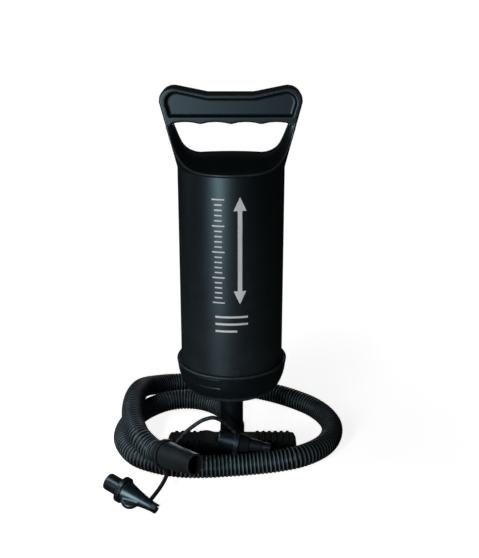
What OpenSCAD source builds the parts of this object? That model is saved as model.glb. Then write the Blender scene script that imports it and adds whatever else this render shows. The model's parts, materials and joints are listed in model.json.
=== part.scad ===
// Double action hand pump: barrel and handle stroke on a fixed stem, and both strokes blow air.
// Millimetres, +Z up. The origin is the middle of the base's underside, on the stem's axis.

/* [Barrel] */
// Outside diameter of the barrel
barrel_d = 78; // [75:0.5:82]
// Wall of the barrel
barrel_wall = 2.2; // [1.8:0.1:2.6]
// Length of the barrel, from its lower edge to the shoulder
barrel_len = 162; // [150:1:190]
// Thickness of the closed crown at the shoulder
crown_t = 5; // [4:0.5:7]
// Radius of the scoops that sweep from the shoulder up to the legs
scoop_r = 27.5; // [24:0.5:28]
// Width of one snap lug, in degrees round the barrel
lug_angle = 25; // [16:1:32]
// Height of one snap lug
lug_h = 7.5; // [5:0.5:8]
// Number of snap lugs
lug_count = 4; // [3:1:6]

/* [Handle] */
// Width across the ears
handle_w = 102; // [98:1:110]
// Height of the ears over the shoulder
handle_h = 56; // [53:0.5:62]
// Depth of the grip and legs, front to back
handle_depth = 21; // [18:0.5:24]
// Radius of the ears
ear_r = 10.5; // [9:0.5:12]
// Dip of the grip's top between the ears
grip_dip = 4.6; // [4:0.2:7]
// Width of the flat in the middle of the dip
grip_flat_w = 33; // [28:1:38]
// Height of the grip bar in the dip
grip_h = 21.2; // [19:0.2:23]
// Height of the ridge under the hand window, over the shoulder
ridge_h = 6.5; // [5:0.5:8]
// Width of the hand window at its top
window_w = 84; // [76:1:85]
// Width of the straight floor of the hand window
window_floor_w = 44; // [36:1:50]
// Radius of the window's lower corners
window_r = 15; // [10:0.5:16]
// Depth of the recess in each face of the grip
recess_depth = 3.5; // [1:0.5:5]
// Rim left over and under the recess
recess_rim = 3; // [2:0.5:5]
// Rim left at the recess's ends
recess_end = 5.5; // [3:0.5:7]
// Band left under the recess
recess_band = 5.5; // [4.5:0.5:9]
// Pitch of the four finger scallops under the grip
scallop_pitch = 21.5; // [18:0.5:22]
// Depth of a finger scallop
scallop_depth = 1.75; // [1:0.25:3]

/* [End cap] */
// Outside diameter of the cap's collar
cap_d = 85; // [84.5:0.5:90]
// Depth from the ledge that carries the barrel down to the boss's end
cap_depth = 17.8; // [17:0.1:22]
// Length of barrel that the collar holds
cap_overlap = 11.5; // [11:0.5:18]
// Height of the collar's sloping lip
lip_h = 1.6; // [1:0.2:4]
// Height of the collar's straight band under the lip
band_h = 4.9; // [3:0.1:7]
// Diameter where the bowl turns under
bowl_d = 73.8; // [68:0.2:75]
// Height of that turn over the boss's end
bowl_h = 10.6; // [9:0.1:13]
// Diameter of the boss round the stem
boss_d = 29.5; // [27:0.5:32]
// Wall of the bowl
cap_wall = 2.6; // [2:0.1:3]
// Height of the tower that holds the guide bush, over the boss's end
tower_h = 29.8; // [28:0.1:33]
// Thickness of the gasket under the barrel
gasket_t = 2; // [1:0.25:3]
// Outside diameter of the guide bush and stem seal
gland_d = 24; // [23:0.25:25]
// Height of the stem seal
seal_h = 6; // [4:0.5:8]
// Height of the retainer under the stem seal
retainer_h = 4; // [3:0.5:5]
// Thickness of the flange on the guide bush
bush_flange_t = 2; // [1.5:0.25:3]
// Thickness of the rubber stop on the bush
bumper_t = 2.5; // [1.5:0.25:4]

/* [Stem] */
// Outside diameter of the stem
stem_d = 18; // [16.6:0.1:18.4]
// Wall of the stem
stem_wall = 1.6; // [1.2:0.1:2]
// Bare stem between the bar and the cap when the barrel is down
stem_gap = 41.7; // [36:0.1:50]
// Outside diameter of the inner air tube
air_tube_d = 9; // [8:0.25:10]
// Wall of the inner air tube
air_tube_wall = 1; // [0.8:0.1:1.3]

/* [Piston] */
// Height of each air gallery in the piston
gallery_h = 8; // [7:0.5:12]
// Thickness of the upper and lower plates
plate_t = 3; // [2.5:0.25:4]
// Thickness of the partition
partition_t = 2.5; // [2:0.25:4]
// Diameter of a valve disc
disc_d = 17; // [15:0.25:17.5]
// Thickness of a valve disc
disc_t = 1.2; // [0.8:0.1:1.6]
// Lift of a valve disc
disc_lift = 1; // [0.6:0.1:1.5]
// Diameter of a valve post
post_d = 4; // [3:0.25:4.5]
// Distance of each valve from the axis
valve_r = 20.8; // [20.5:0.1:21]

/* [Base] */
// Length of the foot bar
bar_w = 106; // [98:1:115]
// Depth of the bar at the hub
bar_depth = 22; // [21.5:0.25:24]
// Depth of the bar's ends in front of the stem's axis
bar_end_front = 7.5; // [6:0.5:7.5]
// Depth of the bar's ends behind the stem's axis
bar_end_back = 10.5; // [8:0.5:11]
// Height of the bar
bar_h = 20.5; // [20:0.5:24]
// Diameter of the hub round the stem
hub_d = 25; // [23:0.5:28]
// Height of the hub
hub_h = 22; // [21:0.5:25]
// Height of both air ports
port_z = 11.2; // [11.1:0.1:12]
// Diameter of both air ports
port_d = 17.3; // [16.4:0.1:17.6]
// Depth of both air ports
port_depth = 7; // [5:0.5:9]
// Distance of the suction port from the stem's axis
suction_x = 21; // [20.5:0.5:25]
// Number of tread ribs on each peg
tread_count = 6; // [3:1:7]
// Pitch of the tread ribs
tread_pitch = 4.9; // [4:0.1:5.2]
// Height of a tread rib over the bar
tread_h = 1.4; // [0.5:0.1:1.8]
// Thickness of the cover under the base
cover_t = 2; // [1.8:0.1:2.4]

/* [Hose] */
// Outside diameter of the hose over its ribs
hose_d = 17.8; // [16.5:0.1:17.9]
// Bore of the hose
hose_bore_d = 13; // [11:0.25:13.5]
// Depth of the grooves between ribs
rib_depth = 1.2; // [0.6:0.1:1.4]
// Number of ribs
rib_count = 200; // [80:10:200]
// Largest diameter of a cuff
cuff_d = 20.6; // [20.4:0.1:21.5]
// Outside diameter of a cuff's mouth
mouth_d = 15.8; // [15.6:0.1:16.2]
// Bore of a cuff's mouth
mouth_bore_d = 13.2; // [13.1:0.1:13.6]
// Depth of the mouth's bore
mouth_depth = 14; // [10:0.5:16]
// Length of the cuff on the free end
free_cuff_len = 42; // [38:0.5:44]
// Length of the cuff on the pump's end
pump_cuff_len = 28; // [27:0.5:32]
// Depth of hose that a cuff holds
socket_depth = 12; // [9:0.5:12.5]

/* [Nozzles] */
// Diameter of a nozzle's spigot
spigot_d = 13; // [12.5:0.1:13]
// Length of a nozzle's spigot
spigot_len = 13; // [10:0.5:14]
// Diameter of a nozzle's flange
flange_d = 20; // [18:0.5:20.5]
// Thickness of a nozzle's flange
flange_t = 3.5; // [2:0.25:4]
// Diameter of the cone at the flange
cone_d = 17; // [15:0.25:17.5]
// Diameter at the tip
tip_d = 7.4; // [6.5:0.1:8]
// Bore through a nozzle
nozzle_bore_d = 4; // [3:0.25:4.5]
// Length of the long nozzle's cone
long_cone = 29; // [26:0.5:30]
// Length of the short nozzle's cone
short_cone = 25; // [22:0.5:26]

/* [Tethers] */
// Diameter of the tether
tether_d = 3.2; // [2.4:0.1:3.4]

/* [Fits] */
// Radial gap of parts that slide or turn on each other
run_gap = 0.05; // [0.02:0.01:0.1]
// Radial gap of the piston's lip seals in the barrel
lip_gap = 0.1; // [0.05:0.01:0.2]
// Gap of pieces that are snapped or laid into each other
slip_gap = 0.15; // [0.1:0.05:0.3]
// Gap left at each end of the stroke
stop_gap = 0.3; // [0.2:0.05:0.5]
// Gap over and under a valve disc at its stops
lift_gap = 0.1; // [0.05:0.05:0.2]

/* [Hidden] */
$fn = 72;

// Colours
BLACK = [0.07, 0.07, 0.075];
SOFT_BLACK = [0.1, 0.1, 0.105];
RUBBER = [0.14, 0.14, 0.14];
NATURAL = [0.86, 0.85, 0.8];
GREY = [0.42, 0.43, 0.45];
STEEL = [0.7, 0.71, 0.73];

// A cut runs this far past the face it opens
past = 1;

// Heights of the stack, from the floor up
barrel_r = barrel_d / 2;
bore_r = barrel_r - barrel_wall;
stem_r = stem_d / 2;
stem_bore_r = stem_r - stem_wall;
air_tube_r = air_tube_d / 2;
air_bore_r = air_tube_r - air_tube_wall;
cap_z = bar_h + stem_gap;
ledge_z = cap_z + cap_depth;
barrel_z = ledge_z + gasket_t;
shoulder_z = barrel_z + barrel_len;
ceiling_z = shoulder_z - crown_t;
collar_z = barrel_z + cap_overlap;
tower_z = cap_z + tower_h;
bumper_z = tower_z + bush_flange_t;

// Valve stack: gaps, disc, lift and the head of the post stand this proud of a plate
head_t = 1.2;
head_r = post_d / 2 + 2;
tail_t = 1;
tail_r = post_d / 2 + 1;
proud = 2 * lift_gap + disc_t + disc_lift + head_t;
stop_boss_h = proud + lift_gap;

// Piston levels, from its stop under the crown down
upper_top = ceiling_z - stop_gap - stop_boss_h;
upper_z = upper_top - plate_t;
partition_top = upper_z - gallery_h;
partition_z = partition_top - partition_t;
lower_top = partition_z - gallery_h;
lower_z = lower_top - plate_t;
skirt_z = lower_z - stop_boss_h;
stroke = skirt_z - stop_gap - bumper_z - bumper_t;
echo(stroke_mm = stroke);

// Piston plan
flange_gap = 0.5;
plate_r = bore_r - flange_gap;
drum_wall = 2.5;
groove_depth = 2.3;
drum_r = plate_r - groove_depth;
socket_wall = 2.2;
stem_grip = 6;
chimney_r = 6.8;
chimney_wall = 1.3;
web_r = 4.9;
web_hole_r = 1.4;
web_count = 6;
screw_pcr = 26.5;
screw_r = 1.6;
screw_head_r = 3.2;
screw_head_h = 2;
screw_boss_r = 3.4;
screw_count = 4;
screw_end = 3;
INTAKE_TOP = 45;
EXHAUST_TOP = 135;
EXHAUST_BOTTOM = 225;
INTAKE_BOTTOM = 315;

// Handle levels
ear_x = handle_w / 2 - ear_r;
ear_z = shoulder_z + handle_h - ear_r;
dip_z = shoulder_z + handle_h - grip_dip;
window_top = dip_z - grip_h;
window_z = shoulder_z + ridge_h;
flare_start = 1;
flare_z = shoulder_z - flare_start;

// Base plan and ports
port_r = port_d / 2;
port_wall = 1.95;
port_face_y = stem_r + port_depth + slip_gap;
suction_face_y = bar_depth / 2;
suction_reach = 7;
duct_r = 3;
duct_y = -2;
stem_seat_z = 3;
hub_fillet_h = 2.5;
hub_fillet_r = 0.7;
bar_corner_r = 5;
bar_shoulder_x = 12;
bar_end_slope = [1, 3];
bar_end_drop = 3;
tread_start = 20.7;
tread_r = 1.6;
tread_inset = 0.5;
cover_rim = 2;
base_screw_r = 1.4;
base_screw_tip = 7;
base_screw_x = [43, 13];
base_head_r = 2.7;
base_head_h = 1;
base_head_sink = 0.3;

// Cuffs and the free end of the hose
hose_r = hose_d / 2;
cuff_r = cuff_d / 2;
mouth_r = mouth_d / 2;
bead_len = 3;
ring_seat = [3.5, 7.5];
ring_seat_depth = 0.4;
ring_t = 1.8;
ring_w = ring_seat[1] - ring_seat[0] - 2 * run_gap;
cuff_body = 8.5;
mouth_edge = 0.6;
cuff_stop = 0.8;
cuff_taper = (cuff_r - mouth_r) / (free_cuff_len - cuff_body);
pump_cuff_y = port_face_y - (port_r - run_gap - mouth_r) * (pump_cuff_len - cuff_body) / (cuff_r - mouth_r)
    + pump_cuff_len;
free_cuff_at = [-54.2, -34.6, 26.6];
free_cuff_az = -47;
free_cuff_el = 10.6;
straight_run = 5.5;

// The hose lies on the floor from the rear port to the left, forward, round the front and the right,
// back behind the stem, and then over itself on the left to its free end
hose_route = [
    [-4.5, 63.5, 10.6], [-14, 78, 9.9], [-28, 88.5, 9.3], [-44.5, 91.5, 9], [-61, 86.5, 9], [-75, 74, 9],
    [-85, 57.5, 9], [-90, 39, 9], [-90.2, 20.6, 9], [-84.5, 3.9, 9], [-74.9, -9.6, 9], [-60, -18.6, 9],
    [-42, -24.6, 9], [-22.5, -25.7, 9], [-3.5, -23.8, 9], [15.5, -22, 9.5], [34, -20.3, 10.8],
    [51.5, -16.5, 12.2], [66, -6.5, 11.9], [77, 8, 10.6], [83.5, 25.5, 9.6], [85, 43.5, 9.1],
    [80.5, 61, 9], [71.5, 76.5, 9], [58.5, 89.5, 9], [43, 101, 9], [26.5, 110, 9], [9, 118, 9],
    [-9, 124, 9], [-27.5, 127, 9], [-45, 125.5, 9.6], [-60.5, 119, 11.8], [-72, 107.5, 15.8],
    [-79.5, 92.5, 21.2], [-83, 75, 26], [-84.8, 56, 28.2], [-84.5, 37, 28.5], [-82.3, 19.5, 28.7],
    [-78.2, 2, 28.8], [-71.4, -15.5, 28.4]];

// The nozzles and the routes of the tether that joins them
nozzle_long_at = [-93, -53.7, 13.8];
nozzle_long_az = -30;
nozzle_long_el = -12.8;
nozzle_short_at = [-10.8, -19.4, 31];
nozzle_short_az = -4.7;
nozzle_short_el = -9.5;
long_route = [[-43.6, -31.1, 31.5], [-39.2, -27.7, 36.2], [-33.7, -24.7, 40.8], [-26, -22.6, 46],
    [-20.5, -21.5, 48.5], [-13.3, -21, 49.5], [-5.2, -20.5, 45], [3.2, -20.3, 36]];
short_route = [[-49.1, -40.2, 16.1], [-49.6, -46.8, 13.6], [-53.6, -56.6, 9.8], [-60.2, -69.3, 6.4]];

// Geometry helpers
function heading(az, el) = [cos(el) * cos(az), cos(el) * sin(az), sin(el)];

function bend(a, b, c, steps) =
    [for (i = [0:steps]) let (t = i / steps) (1 - t) ^ 2 * a + 2 * t * (1 - t) * b + t ^ 2 * c];

// Where a line from p touches the circle of radius r round c, on its left
function touch(p, c, r) =
    let (d = c - p, reach = norm(d), turn = atan2(d.y, d.x) + asin(r / reach))
    p + sqrt(reach ^ 2 - r ^ 2) * [cos(turn), sin(turn)];

function mirrored(pts) = [for (i = [len(pts) - 1:-1:0]) [-pts[i].x, pts[i].y]];

function unit(v) = v / norm(v);

function catmull(a, b, c, d, t) =
    (2 * b + (c - a) * t + (2 * a - 5 * b + 4 * c - d) * t ^ 2 + (3 * b - a - 3 * c + d) * t ^ 3) / 2;

// A smooth line through pts that leaves along first and arrives along last
function smooth(pts, first, last, steps) =
    let (m = len(pts) - 1,
        before = pts[1] - 2 * norm(pts[1] - pts[0]) * first,
        after = pts[m - 1] + 2 * norm(pts[m] - pts[m - 1]) * last,
        all = concat([before], pts, [after]))
    concat([for (i = [0:m - 1]) for (j = [0:steps - 1])
        catmull(all[i], all[i + 1], all[i + 2], all[i + 3], j / steps)], [pts[m]]);

function distances(line) =
    [for (i = 0, s = 0; i < len(line); s = s + norm(line[min(i + 1, len(line) - 1)] - line[i]), i = i + 1) s];

// Tables that give each coordinate of a line by the distance along it
function tables(line) =
    let (s = distances(line))
    [for (k = [0:2]) [for (i = [0:len(line) - 1]) [s[i], line[i][k]]]];

function place_on(table, s) = [for (k = [0:2]) lookup(s, table[k])];

function facing(table, s, step) = unit(place_on(table, s + step) - place_on(table, s - step));

function ring(table, s, r, sides) =
    let (p = place_on(table, s),
        t = facing(table, s, 0.5),
        side = unit(cross(t, [0, 0, 1])),
        up = cross(side, t))
    [for (k = [0:sides - 1]) p + r * (cos(360 * k / sides) * side + sin(360 * k / sides) * up)];

// Triangles between two rings of points that start at a and b
function strip(a, b, sides) =
    [for (k = [0:sides - 1]) let (n = (k + 1) % sides)
        each [[a + k, a + n, b + n], [a + k, b + n, b + k]]];

function flipped(faces) = [for (f = faces) [f[2], f[1], f[0]]];

function fan(a, sides) = [for (k = [1:sides - 2]) [a, a + k, a + k + 1]];

// A solid round cord along a line
module cord(line, r, spacing, sides) {
    table = tables(line);
    total = distances(line)[len(line) - 1];
    count = ceil(total / spacing);
    rings = [for (i = [0:count]) ring(table, total * i / count, r, sides)];
    points = [for (one = rings) each one];
    walls = [for (i = [0:count - 1]) each strip(i * sides, (i + 1) * sides, sides)];
    polyhedron(points, concat(walls, flipped(fan(0, sides)), fan(count * sides, sides)));
}

// A tube with ribs on its outside and a plain bore
module ribbed_tube(line, crest_r, groove_r, inner_r, ribs, sides) {
    table = tables(line);
    total = distances(line)[len(line) - 1];
    outer_count = 2 * ribs;
    inner_count = ceil(ribs / 2);
    outer = [for (i = [0:outer_count])
        ring(table, total * i / outer_count, i % 2 == 0 ? groove_r : crest_r, sides)];
    inner = [for (i = [0:inner_count]) ring(table, total * i / inner_count, inner_r, sides)];
    first_inner = (outer_count + 1) * sides;
    outer_walls = [for (i = [0:outer_count - 1]) each strip(i * sides, (i + 1) * sides, sides)];
    inner_walls = [for (i = [0:inner_count - 1])
        each strip(first_inner + i * sides, first_inner + (i + 1) * sides, sides)];
    near_end = strip(0, first_inner, sides);
    far_end = strip(outer_count * sides, first_inner + inner_count * sides, sides);
    polyhedron([for (one = concat(outer, inner)) each one],
        concat(outer_walls, flipped(inner_walls), flipped(near_end), far_end));
}

module aim(at, az, el) {
    translate(at) rotate([0, 90 - el, az]) children();
}

module tube(r_out, r_in, z0, z1) {
    difference() {
        translate([0, 0, z0]) cylinder(r = r_out, h = z1 - z0);
        translate([0, 0, z0 - past]) cylinder(r = r_in, h = z1 - z0 + 2 * past);
    }
}

// A cylinder that runs along +Y from y0 to y1
module along_y(x, z, r, y0, y1) {
    translate([x, y0, z]) rotate([-90, 0, 0]) cylinder(r = r, h = y1 - y0);
}

// An outline drawn in X and Z, given depth along Y
module through_y(depth) {
    rotate([90, 0, 0]) translate([0, 0, -depth / 2]) linear_extrude(depth) children();
}

// Barrel and handle
function flare_x(z) = barrel_r + (z - flare_z) * (handle_w / 2 - barrel_r) / (ear_z - flare_z);

// How far a straight side starts inside the round that it runs into
blend_in = 0.02;

// Front outline of the grip, drawn in by inset, by end at the ears' sides, and cut off level at low
module grip_outline(inset, end, low) {
    r = ear_r - inset;
    ear = [ear_x + inset - end, ear_z];
    flat = [grip_flat_w / 2, dip_z - inset];
    half = [[flare_x(low) - end, low], [ear.x + r, ear_z], ear, touch(flat, ear, r - blend_in), flat];
    for (s = [-1, 1])
        translate([s * ear.x, ear_z]) circle(r = r);
    polygon(concat(half, mirrored(half)));
}

module hand_window() {
    corner = [window_floor_w / 2, window_z + window_r];
    top = [window_w / 2, window_top];
    half = [[corner.x, window_z], corner, touch(top, corner, window_r), top, [top.x, ear_z + past]];
    for (s = [-1, 1])
        translate([s * corner.x, corner.y]) circle(r = window_r);
    polygon(concat(half, mirrored(half)));
}

module scoops() {
    reach = handle_w;
    y = handle_depth / 2;
    for (s = [0, 1])
        mirror([0, s, 0]) {
            translate([-reach, y + scoop_r, shoulder_z + scoop_r])
                rotate([0, 90, 0]) cylinder(r = scoop_r, h = 2 * reach);
            translate([-reach, y, shoulder_z + scoop_r]) cube([2 * reach, reach, reach]);
            translate([-reach, y + scoop_r, shoulder_z]) cube([2 * reach, reach, reach]);
        }
}

module finger_scallops() {
    r = (scallop_pitch ^ 2 / 4 + scallop_depth ^ 2) / (2 * scallop_depth);
    for (i = [-1.5:1:1.5])
        along_y(i * scallop_pitch, window_top + scallop_depth - r, r, -handle_depth, handle_depth);
}

module snap_ring(r_in, r_out, z0, height, angle) {
    for (i = [0:lug_count - 1])
        rotate([0, 0, 246 + i * 360 / lug_count - angle / 2])
            rotate_extrude(angle = angle) translate([r_in, z0]) square([r_out - r_in, height]);
}

lug_z = barrel_z + 1.5;
lug_proud = 2.6;

module pump_barrel() {
    top = [handle_w / 2, shoulder_z + handle_h + past];
    color(BLACK) difference() {
        union() {
            intersection() {
                rotate_extrude() polygon([[0, barrel_z], [barrel_r, barrel_z], [barrel_r, flare_z],
                    [handle_w / 2, ear_z], top, [0, top.y]]);
                union() {
                    difference() {
                        translate([0, 0, barrel_z]) cylinder(r = handle_w, h = ear_z - barrel_z);
                        scoops();
                        through_y(3 * barrel_d) hand_window();
                    }
                    difference() {
                        through_y(handle_depth) grip_outline(0, 0, window_top);
                        finger_scallops();
                    }
                }
            }
            snap_ring(barrel_r - barrel_wall / 2, barrel_r + lug_proud, lug_z, lug_h, lug_angle);
        }
        translate([0, 0, barrel_z - past]) cylinder(r = bore_r, h = ceiling_z - barrel_z + past);
        for (s = [-1, 1])
            translate([0, s * (handle_depth - recess_depth + past) / 2, 0])
                through_y(recess_depth + past)
                    grip_outline(recess_rim, recess_end, window_top + recess_band);
    }
}

// End cap and the gland in it
lip_t = 0.7;
bowl_r = bowl_d / 2;
cap_r = cap_d / 2;
boss_r = boss_d / 2;
gland_r = gland_d / 2;
band_z = collar_z - lip_h - band_h;
bowl_turn = [bowl_r, cap_z + bowl_h];
boss_edge = 1.5;
band_pull = [0.3, 6.5];
bowl_pull = [2.3, 5.2];
tower_r = gland_r + 3;

function bowl_line() = concat(
    bend([cap_r, band_z], [cap_r, band_z] - band_pull, bowl_turn, 8),
    bend(bowl_turn, bowl_turn - bowl_pull, [boss_r, cap_z + boss_edge], 8));

module end_cap() {
    ledge_r = bore_r - slip_gap;
    floor_turn = bowl_turn + [-cap_wall, cap_wall];
    outside = concat([[0, cap_z], [0, collar_z], [barrel_r + slip_gap + lip_t, collar_z],
        [cap_r, collar_z - lip_h]], bowl_line(), [[boss_r - 0.5, cap_z]]);
    floor_line = bend(floor_turn, floor_turn - bowl_pull, [tower_r, cap_z + boss_edge + cap_wall], 8);
    inside = concat([[0, tower_z], [0, collar_z + past], [barrel_r + slip_gap, collar_z + past],
        [barrel_r + slip_gap, ledge_z], [ledge_r, ledge_z], [ledge_r, floor_turn.y + cap_wall]],
        floor_line, [[tower_r, tower_z]]);
    color(BLACK) difference() {
        rotate_extrude() polygon(outside);
        rotate_extrude() polygon(inside);
        translate([0, 0, cap_z - past]) cylinder(r = gland_r, h = tower_h + 2 * past);
        snap_ring(barrel_r - past, cap_r + past, lug_z - slip_gap * 2, lug_h + slip_gap * 4, lug_angle + 1);
    }
}

module cap_gasket() {
    color(RUBBER) tube(barrel_r, bore_r, ledge_z, barrel_z);
}

seal_z = cap_z + 0.5 + retainer_h;
bush_z = seal_z + seal_h + 2 * lift_gap;

module guide_bush() {
    color(NATURAL) difference() {
        union() {
            translate([0, 0, bush_z]) cylinder(r = gland_r, h = tower_z - bush_z);
            translate([0, 0, tower_z]) cylinder(r = tower_r, h = bush_flange_t);
        }
        translate([0, 0, cap_z]) cylinder(r = stem_r + run_gap, h = bumper_z);
    }
}

module stop_bumper() {
    color(RUBBER) tube(stem_r + socket_wall + 1, stem_r + slip_gap, bumper_z, bumper_z + bumper_t);
}

module seal_retainer() {
    color(SOFT_BLACK) tube(gland_r, stem_r + slip_gap, seal_z - retainer_h, seal_z);
}

module stem_seal() {
    r0 = stem_r + run_gap;
    r1 = gland_r - run_gap;
    lip = (r1 - r0) / 3;
    z0 = seal_z + lift_gap;
    color(RUBBER) rotate_extrude() polygon([[r0, z0 + seal_h], [r0, z0], [r1, z0], [r1, z0 + seal_h],
        [r1 - lip, z0 + seal_h], [r1 - lip, z0 + seal_h / 2], [r0 + lip, z0 + seal_h / 2],
        [r0 + lip, z0 + seal_h]]);
}

// Stem
module stem_tube() {
    color(BLACK) difference() {
        tube(stem_r, stem_bore_r, stem_seat_z, lower_z + stem_grip);
        along_y(0, port_z, air_bore_r, 0, stem_d);
        translate([-stem_d, duct_y, port_z]) rotate([0, 90, 0]) cylinder(r = duct_r, h = stem_d);
    }
}

manifold_r = stem_bore_r - run_gap;
manifold_z = hub_h + 2;
tube_seat = 6;

module air_tube() {
    color(GREY) tube(air_tube_r, air_bore_r, manifold_z - tube_seat, partition_top + 2);
}

module air_manifold() {
    color(GREY) difference() {
        translate([0, 0, stem_seat_z]) cylinder(r = manifold_r, h = manifold_z - stem_seat_z);
        translate([0, 0, manifold_z - tube_seat]) cylinder(r = air_tube_r + run_gap, h = tube_seat + past);
        translate([0, 0, port_z]) cylinder(r = air_bore_r, h = manifold_z - port_z);
        along_y(0, port_z, air_bore_r, 0, stem_d);
        translate([-stem_d - air_tube_r - 1, -stem_r, port_z - duct_r]) cube([stem_d, stem_d, manifold_z]);
    }
}

// Piston
module at_valve(angle) {
    rotate([0, 0, angle]) translate([valve_r, 0, 0]) children();
}

module at_screws() {
    for (i = [0:screw_count - 1])
        rotate([0, 0, i * 360 / screw_count]) translate([screw_pcr, 0, 0]) children();
}

// Hole for the post and the air holes round it, through a plate from z0 to z1
module valve_holes(angle, z0, z1) {
    at_valve(angle) {
        translate([0, 0, z0 - past]) cylinder(r = post_d / 2, h = z1 - z0 + 2 * past);
        for (i = [0:web_count - 1])
            rotate([0, 0, i * 360 / web_count])
                translate([web_r, 0, z0 - past]) cylinder(r = web_hole_r, h = z1 - z0 + 2 * past);
    }
}

module piston_lower() {
    color(SOFT_BLACK) difference() {
        union() {
            translate([0, 0, lower_z]) cylinder(r = plate_r, h = plate_t);
            tube(drum_r, drum_r - drum_wall, lower_z, partition_z);
            translate([0, 0, skirt_z]) cylinder(r = stem_r + socket_wall, h = lower_z + stem_grip - skirt_z);
            at_valve(EXHAUST_BOTTOM)
                translate([0, 0, lower_z]) cylinder(r = chimney_r + chimney_wall, h = partition_z - lower_z);
            at_screws()
                translate([0, 0, lower_z]) cylinder(r = screw_boss_r, h = partition_z - lower_z);
        }
        translate([0, 0, skirt_z - past])
            cylinder(r = stem_r + run_gap, h = partition_z - skirt_z);
        at_valve(EXHAUST_BOTTOM)
            translate([0, 0, lower_z - past]) cylinder(r = chimney_r, h = partition_z - lower_z + 2 * past);
        valve_holes(INTAKE_BOTTOM, lower_z, lower_top);
        at_screws()
            translate([0, 0, lower_z + screw_end]) cylinder(r = screw_r, h = partition_z);
    }
}

module piston_partition() {
    color(GREY) difference() {
        union() {
            translate([0, 0, partition_z]) cylinder(r = plate_r, h = partition_t);
            at_valve(INTAKE_TOP)
                translate([0, 0, partition_z]) cylinder(r = chimney_r + chimney_wall, h = upper_z - partition_z);
        }
        translate([0, 0, partition_z - past])
            cylinder(r = air_tube_r + run_gap, h = partition_t + 2 * past);
        at_valve(INTAKE_TOP)
            translate([0, 0, partition_z - past]) cylinder(r = chimney_r, h = upper_z - partition_z + 2 * past);
        valve_holes(EXHAUST_BOTTOM, partition_z, partition_top);
        at_screws()
            translate([0, 0, partition_z - past]) cylinder(r = screw_r + slip_gap, h = partition_t + 2 * past);
    }
}

module piston_upper() {
    color(SOFT_BLACK) difference() {
        union() {
            translate([0, 0, upper_z]) cylinder(r = plate_r, h = plate_t);
            tube(drum_r, drum_r - drum_wall, partition_top, upper_top);
            translate([0, 0, upper_z]) cylinder(r = stem_r, h = plate_t + stop_boss_h);
            at_screws()
                translate([0, 0, partition_top]) cylinder(r = screw_boss_r, h = upper_top - partition_top);
        }
        valve_holes(INTAKE_TOP, upper_z, upper_top);
        valve_holes(EXHAUST_TOP, upper_z, upper_top);
        at_screws()
            translate([0, 0, partition_top - past])
                cylinder(r = screw_r + slip_gap, h = upper_top - partition_top + 2 * past);
    }
}

// A lip seal whose open side faces +Z, standing on z = 0
module lip_seal() {
    r0 = drum_r + run_gap;
    r1 = bore_r - lip_gap;
    h = gallery_h - 2;
    wall = (r1 - r0) / 3;
    rotate_extrude() polygon([[r0, h], [r0, 0], [r1 - flange_gap, 0], [r1, h - 1], [r1, h],
        [r1 - wall, h], [r1 - wall, wall], [r0 + wall, wall], [r0 + wall, h]]);
}

module piston_seal_lower() {
    color(RUBBER) translate([0, 0, partition_z]) mirror([0, 0, 1]) lip_seal();
}

module piston_seal_upper() {
    color(RUBBER) translate([0, 0, partition_top]) lip_seal();
}

module piston_screws() {
    color(STEEL) at_screws() {
        translate([0, 0, upper_top]) cylinder(r = screw_head_r, h = screw_head_h);
        translate([0, 0, lower_z + screw_end + 1])
            cylinder(r = screw_r, h = upper_top - lower_z - screw_end - 1);
    }
}

// A headed post through a plate whose seat is z = 0 and whose disc lies on its +Z side
module valve_post(plate) {
    translate([0, 0, -plate]) cylinder(r = post_d / 2, h = plate + proud);
    translate([0, 0, proud - head_t]) cylinder(r = head_r, h = head_t);
    translate([0, 0, -plate - tail_t]) cylinder(r = tail_r, h = tail_t);
}

module valve_posts() {
    color(NATURAL) {
        at_valve(INTAKE_TOP) translate([0, 0, upper_top]) valve_post(plate_t);
        at_valve(EXHAUST_TOP) translate([0, 0, upper_z]) mirror([0, 0, 1]) valve_post(plate_t);
        at_valve(EXHAUST_BOTTOM) translate([0, 0, partition_top]) valve_post(partition_t);
        at_valve(INTAKE_BOTTOM) translate([0, 0, lower_z]) mirror([0, 0, 1]) valve_post(plate_t);
    }
}

module valve_disc(z) {
    color(RUBBER) tube(disc_d / 2, post_d / 2 + slip_gap * 2, z, z + disc_t);
}

// A disc over its seat rests on it, and one under its seat rests on its post's head
module intake_disc_top() {
    at_valve(INTAKE_TOP) valve_disc(upper_top + lift_gap);
}

module exhaust_disc_top() {
    at_valve(EXHAUST_TOP) valve_disc(upper_z - lift_gap - disc_lift - disc_t);
}

module exhaust_disc_bottom() {
    at_valve(EXHAUST_BOTTOM) valve_disc(partition_top + lift_gap);
}

module intake_disc_bottom() {
    at_valve(INTAKE_BOTTOM) valve_disc(lower_z - lift_gap - disc_lift - disc_t);
}

// Base
module bar_plan(inset) {
    end_x = bar_w / 2 - inset;
    front_y = inset - bar_end_front;
    back_y = bar_end_back - inset;
    mid_y = bar_depth / 2 - inset;
    half = [[bar_shoulder_x, -mid_y], [end_x - bar_corner_r, front_y], [end_x, front_y + bar_corner_r],
        [end_x, back_y - bar_corner_r], [end_x - bar_corner_r, back_y], [bar_shoulder_x, mid_y]];
    polygon(concat(half, mirrored(half)));
    for (s = [-1, 1])
        for (y = [front_y + bar_corner_r, back_y - bar_corner_r])
            translate([s * (end_x - bar_corner_r), y]) circle(r = bar_corner_r);
}

module bar_side() {
    end_x = bar_w / 2;
    half = [[end_x, 0], [end_x - bar_end_slope[0], bar_h - bar_end_drop], [end_x - bar_end_slope[1], bar_h]];
    polygon(concat(half, mirrored(half)));
}

module treads() {
    for (s = [-1, 1])
        for (i = [0:tread_count - 1]) {
            x = tread_start + i * tread_pitch;
            along_y(s * x, bar_h + tread_h - tread_r, tread_r, tread_inset - bar_end_front,
                bar_end_back - tread_inset);
        }
}

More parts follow.
